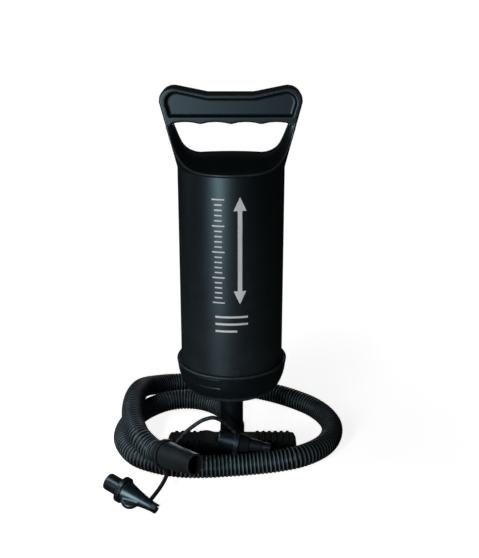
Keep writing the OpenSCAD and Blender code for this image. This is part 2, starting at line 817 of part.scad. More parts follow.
module base_screw_holes(r, z0, z1) {
    for (x = base_screw_x)
        for (s = [-1, 1])
            translate([s * x, 0, z0]) cylinder(r = r, h = z1 - z0);
}

module foot_base() {
    boss_r = port_r + port_wall;
    color(BLACK) difference() {
        union() {
            intersection() {
                linear_extrude(bar_h) bar_plan(0);
                through_y(2 * bar_depth) bar_side();
            }
            treads();
            cylinder(r = hub_d / 2, h = hub_h);
            translate([0, 0, hub_h])
                cylinder(r1 = hub_d / 2, r2 = stem_r + hub_fillet_r, h = hub_fillet_h);
            along_y(0, port_z, boss_r, 0, port_face_y);
            along_y(-suction_x, port_z, boss_r, -suction_reach - duct_r, suction_face_y);
        }
        translate([0, 0, stem_seat_z]) cylinder(r = stem_r + run_gap, h = hub_h + hub_fillet_h);
        along_y(0, port_z, port_r, stem_r, port_face_y + past);
        along_y(-suction_x, port_z, port_r, suction_face_y - port_depth, suction_face_y + past);
        along_y(-suction_x, port_z, port_r / 2, -suction_reach, suction_face_y);
        translate([-suction_x, duct_y, port_z]) rotate([0, 90, 0]) cylinder(r = duct_r, h = suction_x);
        translate([0, 0, -past]) linear_extrude(cover_t + past) bar_plan(cover_rim);
        base_screw_holes(base_screw_r, 0, base_screw_tip + 1);
    }
}

module base_cover() {
    color(SOFT_BLACK) difference() {
        linear_extrude(cover_t) bar_plan(cover_rim + slip_gap);
        base_screw_holes(base_screw_r + slip_gap, -past, cover_t + past);
        base_screw_holes(base_head_r + slip_gap, -past, base_head_sink + base_head_h);
    }
}

module base_screws() {
    color(STEEL) {
        base_screw_holes(base_head_r, base_head_sink, base_head_sink + base_head_h);
        base_screw_holes(base_screw_r, base_head_sink, base_screw_tip);
    }
}

// Hose and cuffs
module cuff(length) {
    bore_end = length - mouth_depth;
    stop_r = mouth_bore_d / 2 - cuff_stop;
    color(BLACK) rotate_extrude() polygon([
        [hose_r + run_gap, 0], [cuff_r - 0.6, 0], [cuff_r, 0.6], [cuff_r, bead_len],
        [cuff_r - ring_seat_depth, ring_seat[0]], [cuff_r - ring_seat_depth, ring_seat[1]],
        [cuff_r, cuff_body], [mouth_r, length - mouth_edge], [mouth_r - mouth_edge, length],
        [mouth_bore_d / 2, length], [mouth_bore_d / 2, bore_end],
        [stop_r, bore_end], [stop_r, socket_depth], [hose_r + run_gap, socket_depth]]);
}

module pump_cuff() {
    aim([0, pump_cuff_y, port_z], -90, 0) cuff(pump_cuff_len);
}

module free_cuff() {
    aim(free_cuff_at, free_cuff_az, free_cuff_el) cuff(free_cuff_len);
}

function hose_line() =
    let (back = [0, 1, 0],
        out = heading(free_cuff_az, free_cuff_el),
        start = [0, pump_cuff_y, port_z],
        inner = concat([start + straight_run * back], hose_route, [free_cuff_at - straight_run * out]))
    concat([start - socket_depth * back], smooth(inner, back, out, 10), [free_cuff_at + socket_depth * out]);

// Least clear space between stretches of a line that are a long way apart along it
function self_gap(line, d, apart, step) =
    let (table = tables(line),
        total = distances(line)[len(line) - 1],
        spots = [for (s = [0:step:total]) place_on(table, s)],
        skip = ceil(apart / step))
    min([for (i = [0:len(spots) - skip - 1]) for (j = [i + skip:len(spots) - 1]) norm(spots[i] - spots[j])]) - d;

module hose() {
    line = hose_line();
    echo(hose_length_mm = distances(line)[len(line) - 1]);
    echo(hose_least_gap_to_itself_mm = self_gap(line, hose_d, 90, 3));
    color(SOFT_BLACK) ribbed_tube(line, hose_r, hose_r - rib_depth, hose_bore_d / 2, rib_count, 8);
}

// Nozzles
module nozzle(cone_len) {
    bore = nozzle_bore_d / 2;
    cone_z = spigot_len + flange_t;
    tip_z = cone_z + cone_len;
    cone = bend([cone_d / 2, cone_z + 1], [(cone_d + tip_d) / 4 - 1, cone_z + cone_len * 0.4],
        [tip_d / 2, tip_z - tip_run], 8);
    difference() {
        rotate_extrude() polygon(concat([[bore, 0], [spigot_d / 2 - 0.5, 0], [spigot_d / 2, 1],
            [spigot_d / 2, spigot_len], [flange_d / 2, spigot_len], [flange_d / 2, cone_z], [cone_d / 2, cone_z]],
            cone, [[tip_d / 2, tip_z], [bore, tip_z]]));
        translate([-tip_slot.x / 2, -tip_d, tip_z - tip_slot.y]) cube([tip_slot.x, 2 * tip_d, tip_slot.y + past]);
    }
}

tip_slot = [1.8, 3];
tip_run = 4;
lobe_r = 6.5;
lobe_t = 4;

module nozzle_long() {
    lobe_z = spigot_len + flange_t + lobe_r + 1.5;
    color(BLACK) aim(nozzle_long_at, nozzle_long_az, nozzle_long_el) union() {
        nozzle(long_cone);
        difference() {
            rotate([0, 0, -70]) translate([4.5, -lobe_t / 2, lobe_z])
                rotate([-90, 0, 0]) cylinder(r = lobe_r, h = lobe_t);
            translate([0, 0, lobe_z - 2 * lobe_r]) cylinder(r = 3, h = 4 * lobe_r);
        }
    }
}

module nozzle_short() {
    color(BLACK) aim(nozzle_short_at, nozzle_short_az, nozzle_short_el) nozzle(short_cone);
}

// Tethers
module tether_ring() {
    color(SOFT_BLACK) aim(free_cuff_at, free_cuff_az, free_cuff_el)
        translate([0, 0, ring_seat[0] + run_gap]) rotate_extrude()
            translate([cuff_r - ring_seat_depth + run_gap, 0]) square([ring_t, ring_w]);
}

module tether(route) {
    last = len(route) - 1;
    line = smooth(route, unit(route[1] - route[0]), unit(route[last] - route[last - 1]), 8);
    echo(tether_length_mm = distances(line)[len(line) - 1]);
    color(SOFT_BLACK) cord(line, tether_d / 2, 2 * tether_d, 8);
}

module tether_long() {
    tether(long_route);
}

module tether_short() {
    tether(short_route);
}

pump_barrel();
end_cap();
cap_gasket();
guide_bush();
stop_bumper();
seal_retainer();
stem_seal();
stem_tube();
air_tube();
air_manifold();
piston_lower();
piston_partition();
piston_upper();
piston_seal_lower();
piston_seal_upper();
piston_screws();
valve_posts();
intake_disc_top();
exhaust_disc_top();
exhaust_disc_bottom();
intake_disc_bottom();
foot_base();
base_cover();
base_screws();
hose();
pump_cuff();
free_cuff();
tether_ring();
tether_long();
tether_short();
nozzle_long();
nozzle_short();
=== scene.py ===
"""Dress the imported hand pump: moulded forms, ribbed hose, finishes, studio light and camera.

Lengths are millimetres until a mesh is made, and metres from then on. In the names of sizes, r is a
radius, z a height, edge and fillet the radius of a rounding, and net the size of a mesh's faces.
"""

import json
import logging
import math
from collections.abc import Callable, Sequence
from dataclasses import dataclass, field
from enum import Enum

import bmesh
import bpy
import numpy as np
from mathutils import Matrix, Vector

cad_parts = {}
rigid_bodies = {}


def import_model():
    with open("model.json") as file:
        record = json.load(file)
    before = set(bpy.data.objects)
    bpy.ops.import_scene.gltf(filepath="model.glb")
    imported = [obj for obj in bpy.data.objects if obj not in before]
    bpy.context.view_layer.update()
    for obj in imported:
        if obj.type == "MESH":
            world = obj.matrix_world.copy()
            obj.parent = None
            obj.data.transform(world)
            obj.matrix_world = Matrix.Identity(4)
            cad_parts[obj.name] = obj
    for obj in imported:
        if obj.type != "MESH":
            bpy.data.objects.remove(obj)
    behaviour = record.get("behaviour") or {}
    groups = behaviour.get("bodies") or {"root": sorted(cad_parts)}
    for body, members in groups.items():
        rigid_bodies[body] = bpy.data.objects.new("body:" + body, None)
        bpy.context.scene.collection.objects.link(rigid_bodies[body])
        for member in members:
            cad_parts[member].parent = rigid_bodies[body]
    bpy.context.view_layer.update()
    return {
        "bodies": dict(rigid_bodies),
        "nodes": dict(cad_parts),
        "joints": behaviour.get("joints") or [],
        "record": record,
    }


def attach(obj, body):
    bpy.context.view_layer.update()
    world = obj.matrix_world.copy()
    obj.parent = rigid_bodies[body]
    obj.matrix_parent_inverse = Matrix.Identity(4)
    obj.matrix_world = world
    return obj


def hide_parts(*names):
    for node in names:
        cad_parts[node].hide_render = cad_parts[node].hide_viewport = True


LOG = logging.getLogger("hand_pump")
MM = 0.001
CORNER_SHARE = 0.45  # most of a section's side that the rounding of a corner takes
STRAIGHT = 0.05  # turn in radians below which a corner of a section stays as it is

Point = tuple[float, float]
Place = tuple[float, float, float]
Colour = tuple[float, float, float]
Field = Callable[[np.ndarray, np.ndarray, np.ndarray], np.ndarray]


class Body(Enum):
    """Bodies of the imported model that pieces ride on."""

    BASE = "base"
    BARREL = "barrel"


class Slot(Enum):
    """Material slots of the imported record."""

    BLACK_SHELL = "black_shell"
    SOFT_BLACK = "soft_black"
    HOSE = "hose"
    NOZZLE = "nozzle"
    RUBBER = "rubber"
    NATURAL = "natural"
    GREY = "grey"
    STEEL = "steel"


class Layout(Enum):
    """How a repeated form is laid out."""

    ROW = "row"
    ROUND = "round"


def round_max(a: np.ndarray, b: np.ndarray, radius: float) -> np.ndarray:
    """Meet two distance fields in an edge that is rounded by radius."""
    outside = np.hypot(np.maximum(a + radius, 0), np.maximum(b + radius, 0))
    return np.minimum(np.maximum(a, b), -radius) + outside


def round_min(a: np.ndarray, b: np.ndarray, radius: float) -> np.ndarray:
    """Join two distance fields with a fillet of radius in the corner."""
    return -round_max(-a, -b, radius)


def polygon_distance(x: np.ndarray, y: np.ndarray, corners: Sequence[Point]) -> np.ndarray:
    """Measure how far points lie outside a closed polygon.

    Args:
        x: First coordinate of the points.
        y: Second coordinate, of a shape that broadcasts with x.
        corners: The polygon's corners in order.

    Returns:
        The distances, negative inside.
    """
    best = np.full(np.broadcast(x, y).shape, np.inf)
    inside = np.zeros(best.shape, bool)
    ends = list(corners[1:]) + [corners[0]]
    for (ax, ay), (bx, by) in zip(corners, ends):
        ex, ey = bx - ax, by - ay
        along = np.clip(((x - ax) * ex + (y - ay) * ey) / (ex * ex + ey * ey), 0, 1)
        best = np.minimum(best, (x - ax - ex * along) ** 2 + (y - ay - ey * along) ** 2)
        if ey:
            inside ^= ((ay > y) != (by > y)) & (x < ax + (y - ay) * ex / ey)
    return np.where(inside, -1.0, 1.0) * np.sqrt(best)


def touch(p: Point, centre: Point, radius: float) -> Point:
    """Find where a line from p touches a circle on its left.

    Args:
        p: Where the line starts.
        centre: Middle of the circle.
        radius: Its radius.

    Returns:
        The point of touch.
    """
    dx, dy = centre[0] - p[0], centre[1] - p[1]
    reach = math.hypot(dx, dy)
    turn = math.atan2(dy, dx) + math.asin(radius / reach)
    length = math.sqrt(reach**2 - radius**2)
    return p[0] + length * math.cos(turn), p[1] + length * math.sin(turn)


def mirrored(points: Sequence[Point]) -> list[Point]:
    """Turn half an outline over, in reverse order."""
    return [(-x, y) for x, y in reversed(points)]


def bend(a: Point, b: Point, c: Point, steps: int) -> list[Point]:
    """Draw the curve from a to c that b pulls on.

    Args:
        a: First point.
        b: The point that pulls.
        c: Last point.
        steps: Steps along the curve.

    Returns:
        The curve's points.
    """
    out = []
    for i in range(steps + 1):
        t = i / steps
        wa, wb, wc = (1 - t) ** 2, 2 * t * (1 - t), t**2
        out.append((wa * a[0] + wb * b[0] + wc * c[0], wa * a[1] + wb * b[1] + wc * c[1]))
    return out


def aim(at: Place, azimuth: float, elevation: float) -> Matrix:
    """Place local +Z at a point along a heading in degrees, in millimetres.

    Args:
        at: The point.
        azimuth: Heading round +Z, from +X.
        elevation: Heading above the floor.

    Returns:
        The matrix of the place.
    """
    turn = Matrix.Rotation(math.radians(azimuth), 4, "Z")
    tip = Matrix.Rotation(math.radians(90 - elevation), 4, "Y")
    return Matrix.Translation(at) @ turn @ tip


def smooth_line(points: Sequence[Place], first: Vector, last: Vector, steps: int) -> list[Vector]:
    """Run a smooth line through points.

    Args:
        points: The points that the line goes through.
        first: Direction in which it leaves the first point.
        last: Direction in which it arrives at the last one.
        steps: Steps between two points.

    Returns:
        The line's points.
    """
    knots = [Vector(p) for p in points]
    before = knots[1] - 2 * (knots[1] - knots[0]).length * first
    after = knots[-2] + 2 * (knots[-1] - knots[-2]).length * last
    knots = [before, *knots, after]
    line = []
    for a, b, c, d in zip(knots, knots[1:], knots[2:], knots[3:]):
        for j in range(steps):
            t = j / steps
            pull = (2 * a - 5 * b + 4 * c - d) * t**2 + (3 * b - a - 3 * c + d) * t**3
            line.append((2 * b + (c - a) * t + pull) / 2)
    return line + [Vector(points[-1])]


@dataclass
class Shell:
    """A surface: its points, faces and outward point normals."""

    points: np.ndarray
    faces: list[list[int]]
    normals: np.ndarray

    def moved(self, matrix: Matrix) -> "Shell":
        """Carry the surface to its place.

        Args:
            matrix: The place.

        Returns:
            The moved surface.
        """
        turn = np.array(matrix.to_3x3())
        at = np.array(matrix.translation)
        return Shell(self.points @ turn.T + at, self.faces, self.normals @ turn.T)

    def joined(self, other: "Shell") -> "Shell":
        """Put another surface into the same mesh.

        Args:
            other: The other surface.

        Returns:
            Both as one surface.
        """
        start = len(self.points)
        faces = self.faces + [[i + start for i in face] for face in other.faces]
        points = np.vstack([self.points, other.points])
        return Shell(points, faces, np.vstack([self.normals, other.normals]))

    def piece(self, name: str, bridge: bool = False) -> bpy.types.Object:
        """Make the surface a mesh object in metres.

        Args:
            name: Name of the piece.
            bridge: Whether its two open edges are joined to each other.

        Returns:
            The new object, which sits at the origin.
        """
        mesh = bpy.data.meshes.new(name)
        mesh.from_pydata((self.points * MM).tolist(), [], self.faces)
        if bridge:
            bm = bmesh.new()
            bm.from_mesh(mesh)
            bmesh.ops.bridge_loops(bm, edges=[e for e in bm.edges if e.is_boundary])
            bmesh.ops.recalc_face_normals(bm, faces=bm.faces)
            bm.to_mesh(mesh)
            bm.free()
        mesh.shade_smooth()
        mesh.normals_split_custom_set_from_vertices(self.normals.tolist())
        mesh.update()
        return linked(name, mesh)


def linked(name: str, data: bpy.types.ID) -> bpy.types.Object:
    """Put a new object with this data into the scene.

    Args:
        name: Name of the object.
        data: Its mesh, curve, lamp or camera.

    Returns:
        The object.
    """
    obj = bpy.data.objects.new(name, data)
    bpy.context.scene.collection.objects.link(obj)
    return obj


def surface_net(form: Field, low: Place, high: Place, step: float) -> Shell:
    """Mesh the surface of a distance field, with its points moved onto it.

    Args:
        form: The distance field, negative in the solid.
        low: Lowest corner of the space that is meshed.
        high: Highest corner of it. The surface stays open where this space cuts it.
        step: Size of a face.

    Returns:
        The surface.
    """
    axes = [np.arange(a, b + step, step) for a, b in zip(low, high)]
    shape = tuple(len(a) for a in axes)
    grid = form(axes[0][:, None, None], axes[1][None, :, None], axes[2][None, None, :])
    grid = np.broadcast_to(grid, shape)
    solid = grid < 0
    count = sum(
        solid[i : shape[0] - 1 + i, j : shape[1] - 1 + j, k : shape[2] - 1 + k].astype(np.int8)
        for i in (0, 1)
        for j in (0, 1)
        for k in (0, 1)
    )
    mixed = (count > 0) & (count < 8)
    ids = np.full(mixed.shape, -1)
    cells = np.argwhere(mixed)
    ids[mixed] = np.arange(len(cells))
    total = np.zeros((len(cells), 3))
    hits = np.zeros(len(cells))
    for axis in range(3):
        for i in (0, 1):
            for j in (0, 1):
                corner = np.insert(np.array([i, j]), axis, 0)
                a = cells + corner
                b = a.copy()
                b[:, axis] += 1
                va, vb = grid[tuple(a.T)], grid[tuple(b.T)]
                cut = (va < 0) != (vb < 0)
                spot = a.astype(float)
                spot[cut, axis] += va[cut] / (va[cut] - vb[cut])
                total[cut] += spot[cut]
                hits += cut
    points = np.array(low) + step * total / hits[:, None]
    faces = []
    for axis in range(3):
        u, w = np.eye(3, dtype=int)[(axis + 1) % 3], np.eye(3, dtype=int)[(axis + 2) % 3]
        lower = np.take(solid, range(shape[axis] - 1), axis)
        upper = np.take(solid, range(1, shape[axis]), axis)
        spots = np.argwhere(lower != upper)
        side = (axis + 1) % 3, (axis + 2) % 3
        for s in side:
            spots = spots[(spots[:, s] > 0) & (spots[:, s] < shape[s] - 1)]
        around = [spots - u - w, spots - w, spots, spots - u]
        quads = np.stack([ids[tuple(c.T)] for c in around], 1)
        flip = ~lower[tuple(spots.T)]
        quads[flip] = quads[flip][:, ::-1]
        faces += quads.tolist()
    nudge, flattest, passes = 0.02, 0.05, 3
    for _ in range(passes):
        value = form(*points.T)
        slope = np.stack(
            [(form(*(points + e).T) - form(*(points - e).T)) / (2 * nudge) for e in nudge * np.eye(3)], 1
        )
        size = np.maximum((slope**2).sum(1), flattest)
        points = points - slope * np.clip(value / size, -step, step)[:, None]
    normals = slope / np.linalg.norm(slope, axis=1)[:, None]
    return Shell(points, faces, normals)


@dataclass
class Profile:
    """The section of a turned form in radius and height, with its solid on the left."""

    corners: Sequence[Point]
    rounding: float = 0.3
    steps: int = 4
    closed: bool = True

    def drawn(self) -> tuple[np.ndarray, np.ndarray]:
        """Round the corners.

        Returns:
            The points of the section and their normals.
        """
        pts = [np.array(c, float) for c in self.corners]
        n = len(pts)
        spots, normals = [], []
        for i, p in enumerate(pts):
            into = p - pts[i - 1] if self.closed or i else pts[1] - p
            away = pts[(i + 1) % n] - p if self.closed or i < n - 1 else p - pts[i - 1]
            la, lb = np.linalg.norm(into), np.linalg.norm(away)
            into, away = into / la, away / lb
            na, nb = np.array([into[1], -into[0]]), np.array([away[1], -away[0]])
            turn = math.acos(float(np.clip(into @ away, -1, 1)))
            back = min(self.rounding * math.tan(turn / 2), CORNER_SHARE * la, CORNER_SHARE * lb)
            if turn < STRAIGHT or (not self.closed and i in (0, n - 1)):
                spots.append(p)
                normals.append((na + nb) / np.linalg.norm(na + nb))
                continue
            for k in range(self.steps + 1):
                t = k / self.steps
                start, stop = p - back * into, p + back * away
                spots.append((1 - t) ** 2 * start + 2 * t * (1 - t) * p + t**2 * stop)
                mix = (1 - t) * na + t * nb
                normals.append(mix / np.linalg.norm(mix))
        return np.array(spots), np.array(normals)

    def turned(self, segments: int, pole: bool = False) -> Shell:
        """Turn the section round +Z.

        Args:
            segments: Steps round the axis.
            pole: Whether the first point lies on the axis.

        Returns:
            The surface.
        """
        spots, slopes = self.drawn()
        angle = np.linspace(0, 2 * math.pi, segments, endpoint=False)
        ring = np.stack([np.cos(angle), np.sin(angle)], 1)
        points = [np.column_stack([ring * r, np.full(segments, z)]) for r, z in spots]
        normals = [np.column_stack([ring * r, np.full(segments, z)]) for r, z in slopes]
        faces = []
        if pole:
            points[0], normals[0] = points[0][:1], normals[0][:1]
            faces = [[0, 1 + (j + 1) % segments, 1 + j] for j in range(segments)]
        start = np.cumsum([0] + [len(p) for p in points])
        rows = len(spots) if self.closed else len(spots) - 1
        for i in range(int(pole), rows):
            a, b = start[i], start[(i + 1) % len(spots)]
            for j in range(segments):
                k = (j + 1) % segments
                faces.append([int(a + j), int(a + k), int(b + k), int(b + j)])
        return Shell(np.vstack(points), faces, np.vstack(normals))


def mark_edges(obj: bpy.types.Object, reach: float = 1.2) -> None:
    """Store how sharply the surface turns outwards as the attribute edge.

    Args:
        obj: A mesh piece.
        reach: Radius in millimetres of an edge that counts as fully sharp.
    """
    mesh = obj.data
    n = len(mesh.vertices)
    spots = np.zeros(n * 3, np.float32)
    mesh.vertices.foreach_get("co", spots)
    spots = spots.reshape(-1, 3)
    normals = np.zeros(n * 3, np.float32)
    mesh.vertex_normals.foreach_get("vector", normals)
    normals = normals.reshape(-1, 3)
    edges = np.zeros(len(mesh.edges) * 2, np.int32)
    mesh.edges.foreach_get("vertices", edges)
    a, b = edges.reshape(-1, 2).T
    step = spots[a] - spots[b]
    size = np.maximum((step**2).sum(1), 1e-12)
    turn = np.zeros(n)
    count = np.zeros(n)
    np.add.at(turn, a, (normals[a] * step).sum(1) / size)
    np.add.at(turn, b, -(normals[b] * step).sum(1) / size)
    np.add.at(count, a, 1)
    np.add.at(count, b, 1)
    sharp = np.clip(2 * reach * MM * turn / np.maximum(count, 1), 0, 1)
    # The finishes lighten edges by this attribute: worn edges and a painted highlight.
    layer = mesh.attributes.new("edge", "FLOAT", "POINT")
    layer.data.foreach_set("value", sharp.astype(np.float32))


class NodeTree:
    """A shader or geometry tree that is being wired."""

    def __init__(self, tree: bpy.types.NodeTree) -> None:
        """Keep the tree."""
        self.tree = tree

    def feed(self, socket: bpy.types.NodeSocket, value: object) -> None:
        """Link an output to an input, or set the input's value."""
        if isinstance(value, bpy.types.NodeSocket):
            self.tree.links.new(value, socket)
        else:
            socket.default_value = value

    def add(self, kind: str, inputs: dict | None = None, **values: object) -> bpy.types.Node:
        """Add a node.

        Args:
            kind: Blender's name of the node type.
            inputs: What an input gets, by its name or number: a value, or an output to link.
            values: The node's own properties.

        Returns:
            The node.
        """
        node = self.tree.nodes.new(kind)
        for name, value in values.items():
            setattr(node, name, value)
        for key, value in (inputs or {}).items():
            self.feed(node.inputs[key], value)
        return node

    def math(self, operation: str, *values: object) -> bpy.types.NodeSocket:
        """Add a Math node whose inputs are numbers or sockets, and give its output."""
        return self.add("ShaderNodeMath", dict(enumerate(values)), operation=operation).outputs[0]

    def mix(self, blend: str, factor: object, a: object, b: object) -> bpy.types.NodeSocket:
        """Add a Mix node for two colours, and give its output."""
        inputs = {"Factor": factor, "A": a, "B": b}
        return self.add("ShaderNodeMix", inputs, data_type="RGBA", blend_type=blend).outputs["Result"]


def bare_material(name: str) -> tuple[bpy.types.Material, NodeTree]:
    """Start a material with an empty tree.

    Args:
        name: Name of the material.

    Returns:
        The material and its tree.
    """
    mat = bpy.data.materials.new(name)
    mat.use_nodes = True
    mat.node_tree.nodes.clear()
    return mat, NodeTree(mat.node_tree)


def shader_group(name: str, ins: dict[str, str], outs: Sequence[str]) -> NodeTree:
    """Start a shader node group with named sockets.

    Args:
        name: Name of the group.
        ins: Socket type of each input.
        outs: Name of each output, which is a number.

    Returns:
        The tree, with its input and output nodes in it.
    """
    tree = bpy.data.node_groups.new(name, "ShaderNodeTree")
    for label, kind in ins.items():
        tree.interface.new_socket(label, in_out="INPUT", socket_type=kind)
    for label in outs:
        tree.interface.new_socket(label, in_out="OUTPUT", socket_type="NodeSocketFloat")
    wiring = NodeTree(tree)
    wiring.add("NodeGroupInput", name="in")
    wiring.add("NodeGroupOutput", name="out")
    return wiring


class Effects:
    """Surface effects that the finishes share, each built once as a node group."""

    PIT_SCALE = 0.6
    PIT_DEPTH = 0.5
    MOTTLE_SCALE = 0.03
    # Unevenness of the lighter edge colour, which is partly worn edges and partly a painted highlight.
    RUB_AND_HIGHLIGHT_GAIN = 1.2
    RUB_AND_HIGHLIGHT_LOSS = -0.1
    SCUFF_STRETCH = (1, 1, 0.25)
    SCUFF_SCALE = 2.5
    PATCH_SHARE = 0.6
    SCUFF_SHARE = 0.4

    def __init__(self) -> None:
        """Build the groups."""
        self.grain = self.moulded_grain()
        self.wear_and_highlight = self.wear_and_edge_highlight()

    def moulded_grain(self) -> bpy.types.NodeTree:
        """Build the fine texture that a spark-eroded mould leaves on plastic.

        Returns:
            The group.
        """
        kinds = {"Vector": "NodeSocketVector", "Scale": "NodeSocketFloat"}
        g = shader_group("moulded_grain", kinds, ("Height", "Mottle"))
        given, out = g.tree.nodes["in"].outputs, g.tree.nodes["out"].inputs
        spot, scale = given["Vector"], given["Scale"]
        fine = g.add("ShaderNodeTexNoise", {"Vector": spot, "Scale": scale, "Detail": 3, "Roughness": 0.6})
        pit_scale = g.math("MULTIPLY", scale, self.PIT_SCALE)
        pits = g.add("ShaderNodeTexVoronoi", {"Vector": spot, "Scale": pit_scale}, feature="SMOOTH_F1")
        dents = g.math("MULTIPLY", pits.outputs["Distance"], self.PIT_DEPTH)
        g.feed(out["Height"], g.math("ADD", fine.outputs[0], dents))
        broad_scale = g.math("MULTIPLY", scale, self.MOTTLE_SCALE)
        broad = g.add("ShaderNodeTexNoise", {"Vector": spot, "Scale": broad_scale, "Detail": 4})
        g.feed(out["Mottle"], broad.outputs[0])
        return g.tree

    def wear_and_edge_highlight(self) -> bpy.types.NodeTree:
        """Build the marks of use: worn edges, whose lighter colour is also a painted highlight, and smudges
        with fine scuffs.

        Returns:
            The group.
        """
        kinds = {"Vector": "NodeSocketVector", "Edge": "NodeSocketFloat", "Scale": "NodeSocketFloat"}
        g = shader_group("wear_and_edge_highlight", kinds, ("Rub_and_highlight_mask", "Smudge"))
        given, out = g.tree.nodes["in"].outputs, g.tree.nodes["out"].inputs
        spot, scale = given["Vector"], given["Scale"]
        noise = {"Vector": spot, "Scale": scale, "Detail": 5, "Roughness": 0.65}
        patches = g.add("ShaderNodeTexNoise", noise).outputs[0]
        uneven = g.math("ADD", g.math("MULTIPLY", patches, self.RUB_AND_HIGHLIGHT_GAIN), self.RUB_AND_HIGHLIGHT_LOSS)
        # Mask of the lighter edge colour: worn edges and a painted highlight on rounded edges.
        rub_and_highlight = g.add("ShaderNodeMath", {0: given["Edge"], 1: uneven}, operation="MULTIPLY", use_clamp=True)
        g.feed(out["Rub_and_highlight_mask"], rub_and_highlight.outputs[0])
        drawn = g.add("ShaderNodeMapping", {"Vector": spot, "Scale": self.SCUFF_STRETCH}).outputs[0]
        scuff_scale = g.math("MULTIPLY", scale, self.SCUFF_SCALE)
        scuffs = g.add("ShaderNodeTexNoise", {"Vector": drawn, "Scale": scuff_scale, "Detail": 6}).outputs[0]
        smudge = g.math("MULTIPLY", patches, self.PATCH_SHARE)
        g.feed(out["Smudge"], g.math("ADD", smudge, g.math("MULTIPLY", scuffs, self.SCUFF_SHARE)))
        return g.tree


@dataclass(frozen=True)
class Finish:
    """A surface finish, from which one material is made.

    Tone is the colour of the surface and rubbed that of its edges, which take it up by rub. That edge colour
    stands partly for worn edges and partly for a painted highlight; on the hose it is a painted highlight on
    the rib crests.
    Focus narrows those edges to their crests. The roughness varies by spread. Grain and wear are the scales
    of the two effects, and bump is the depth of the grain in millimetres.
    """

    name: str
    tone: Colour
    rubbed_and_highlight: Colour
    roughness: float
    spread: float
    grain: float
    bump: float
    wear_and_highlight: float = 60.0
    specular: float = 0.5
    gloss_tint: Colour = (1.0, 1.0, 1.0)
    metal: float = 0.0
    rub_and_highlight: float = 0.5
    focus: float = 1.0
    mottle: float = 0.5
    relief: float = 0.6

    def material(self, effects: Effects) -> bpy.types.Material:
        """Make the finish's material, once.

        Args:
            effects: The shared node groups.

        Returns:
            The material.
        """
        known = bpy.data.materials.get(self.name)
        if known:
            return known
        mat, t = bare_material(self.name)
        where = t.add("ShaderNodeTexCoord").outputs["Object"]
        edge = t.add("ShaderNodeAttribute", attribute_name="edge").outputs["Fac"]
        grain = t.add("ShaderNodeGroup", node_tree=effects.grain)
        wear_and_highlight = t.add("ShaderNodeGroup", node_tree=effects.wear_and_highlight)
        for group, scale in ((grain, self.grain), (wear_and_highlight, self.wear_and_highlight)):
            t.feed(group.inputs["Vector"], where)
            t.feed(group.inputs["Scale"], scale)
        t.feed(wear_and_highlight.inputs["Edge"], t.math("POWER", edge, self.focus))
        plain = t.mix("MULTIPLY", self.mottle, (*self.tone, 1), grain.outputs["Mottle"])
        # The edges, and the hose's rib crests, take the lighter edge colour: worn edges and a painted
        # highlight.
        rub_and_highlight = t.math("MULTIPLY", wear_and_highlight.outputs["Rub_and_highlight_mask"], self.rub_and_highlight)
        uneven = t.math("MULTIPLY", t.math("SUBTRACT", wear_and_highlight.outputs["Smudge"], 0.5), self.spread)
        height = {"Strength": self.relief, "Distance": self.bump * MM, "Height": grain.outputs["Height"]}
        shade = t.add(
            "ShaderNodeBsdfPrincipled",
            {
                "Base Color": t.mix("MIX", rub_and_highlight, plain, (*self.rubbed_and_highlight, 1)),
                "Roughness": t.math("ADD", uneven, self.roughness),
                "Metallic": self.metal,
                "Specular IOR Level": self.specular,
                "Specular Tint": (*self.gloss_tint, 1),
                "Normal": t.add("ShaderNodeBump", height).outputs[0],
            },
        )
        t.add("ShaderNodeOutputMaterial", {"Surface": shade.outputs[0]})
        return mat


COOL: Colour = (0.55, 0.85, 1.0)
# The lighter edge colours below are partly worn edges and partly a painted highlight along rounded edges and
# rims.
SATIN_BLACK = Finish(
    "satin_black", tone=(0.0028, 0.004, 0.0046), rubbed_and_highlight=(0.085, 0.105, 0.115), roughness=0.43, spread=0.1,
    grain=2600, bump=0.02, specular=0.75, gloss_tint=COOL, rub_and_highlight=0.8,
)  # fmt: skip
FOOT_BLACK = Finish(
    "foot_black", tone=(0.0018, 0.0022, 0.0025), rubbed_and_highlight=(0.022, 0.026, 0.028), roughness=0.55, spread=0.12,
    grain=2400, bump=0.02, specular=0.2, gloss_tint=COOL,
)  # fmt: skip
CUFF_BLACK = Finish(
    "cuff_black", tone=(0.0022, 0.0027, 0.003), rubbed_and_highlight=(0.06, 0.07, 0.075), roughness=0.46, spread=0.14,
    grain=2200, bump=0.02, gloss_tint=COOL, rub_and_highlight=0.8,
)  # fmt: skip
# Painted highlight: the pale crest colour stands for the glints on the hose's ribs, over the near-black
# grooves.
HOSE_BLACK = Finish(
    "hose_black", tone=(0.0012, 0.0016, 0.0019), rubbed_and_highlight=(0.33, 0.42, 0.46), roughness=0.41, spread=0.14,
    grain=1800, bump=0.015, wear_and_highlight=40, specular=0.36, gloss_tint=COOL, rub_and_highlight=1.0, focus=6.0,
)  # fmt: skip
GLOSS_BLACK = Finish(
    "gloss_black", tone=(0.0045, 0.0058, 0.0064), rubbed_and_highlight=(0.05, 0.06, 0.066), roughness=0.36, spread=0.12,
    grain=3000, bump=0.012, specular=1.0, gloss_tint=COOL,
)  # fmt: skip
RUBBER = Finish(
    "seal_rubber", tone=(0.028, 0.028, 0.028), rubbed_and_highlight=(0.06, 0.06, 0.06), roughness=0.7, spread=0.2,
    grain=1800, bump=0.05, wear_and_highlight=80,
)  # fmt: skip
NATURAL = Finish(
    "bearing_plastic", tone=(0.7, 0.68, 0.62), rubbed_and_highlight=(0.8, 0.79, 0.75), roughness=0.42, spread=0.15,
    grain=2000, bump=0.02,
)  # fmt: skip
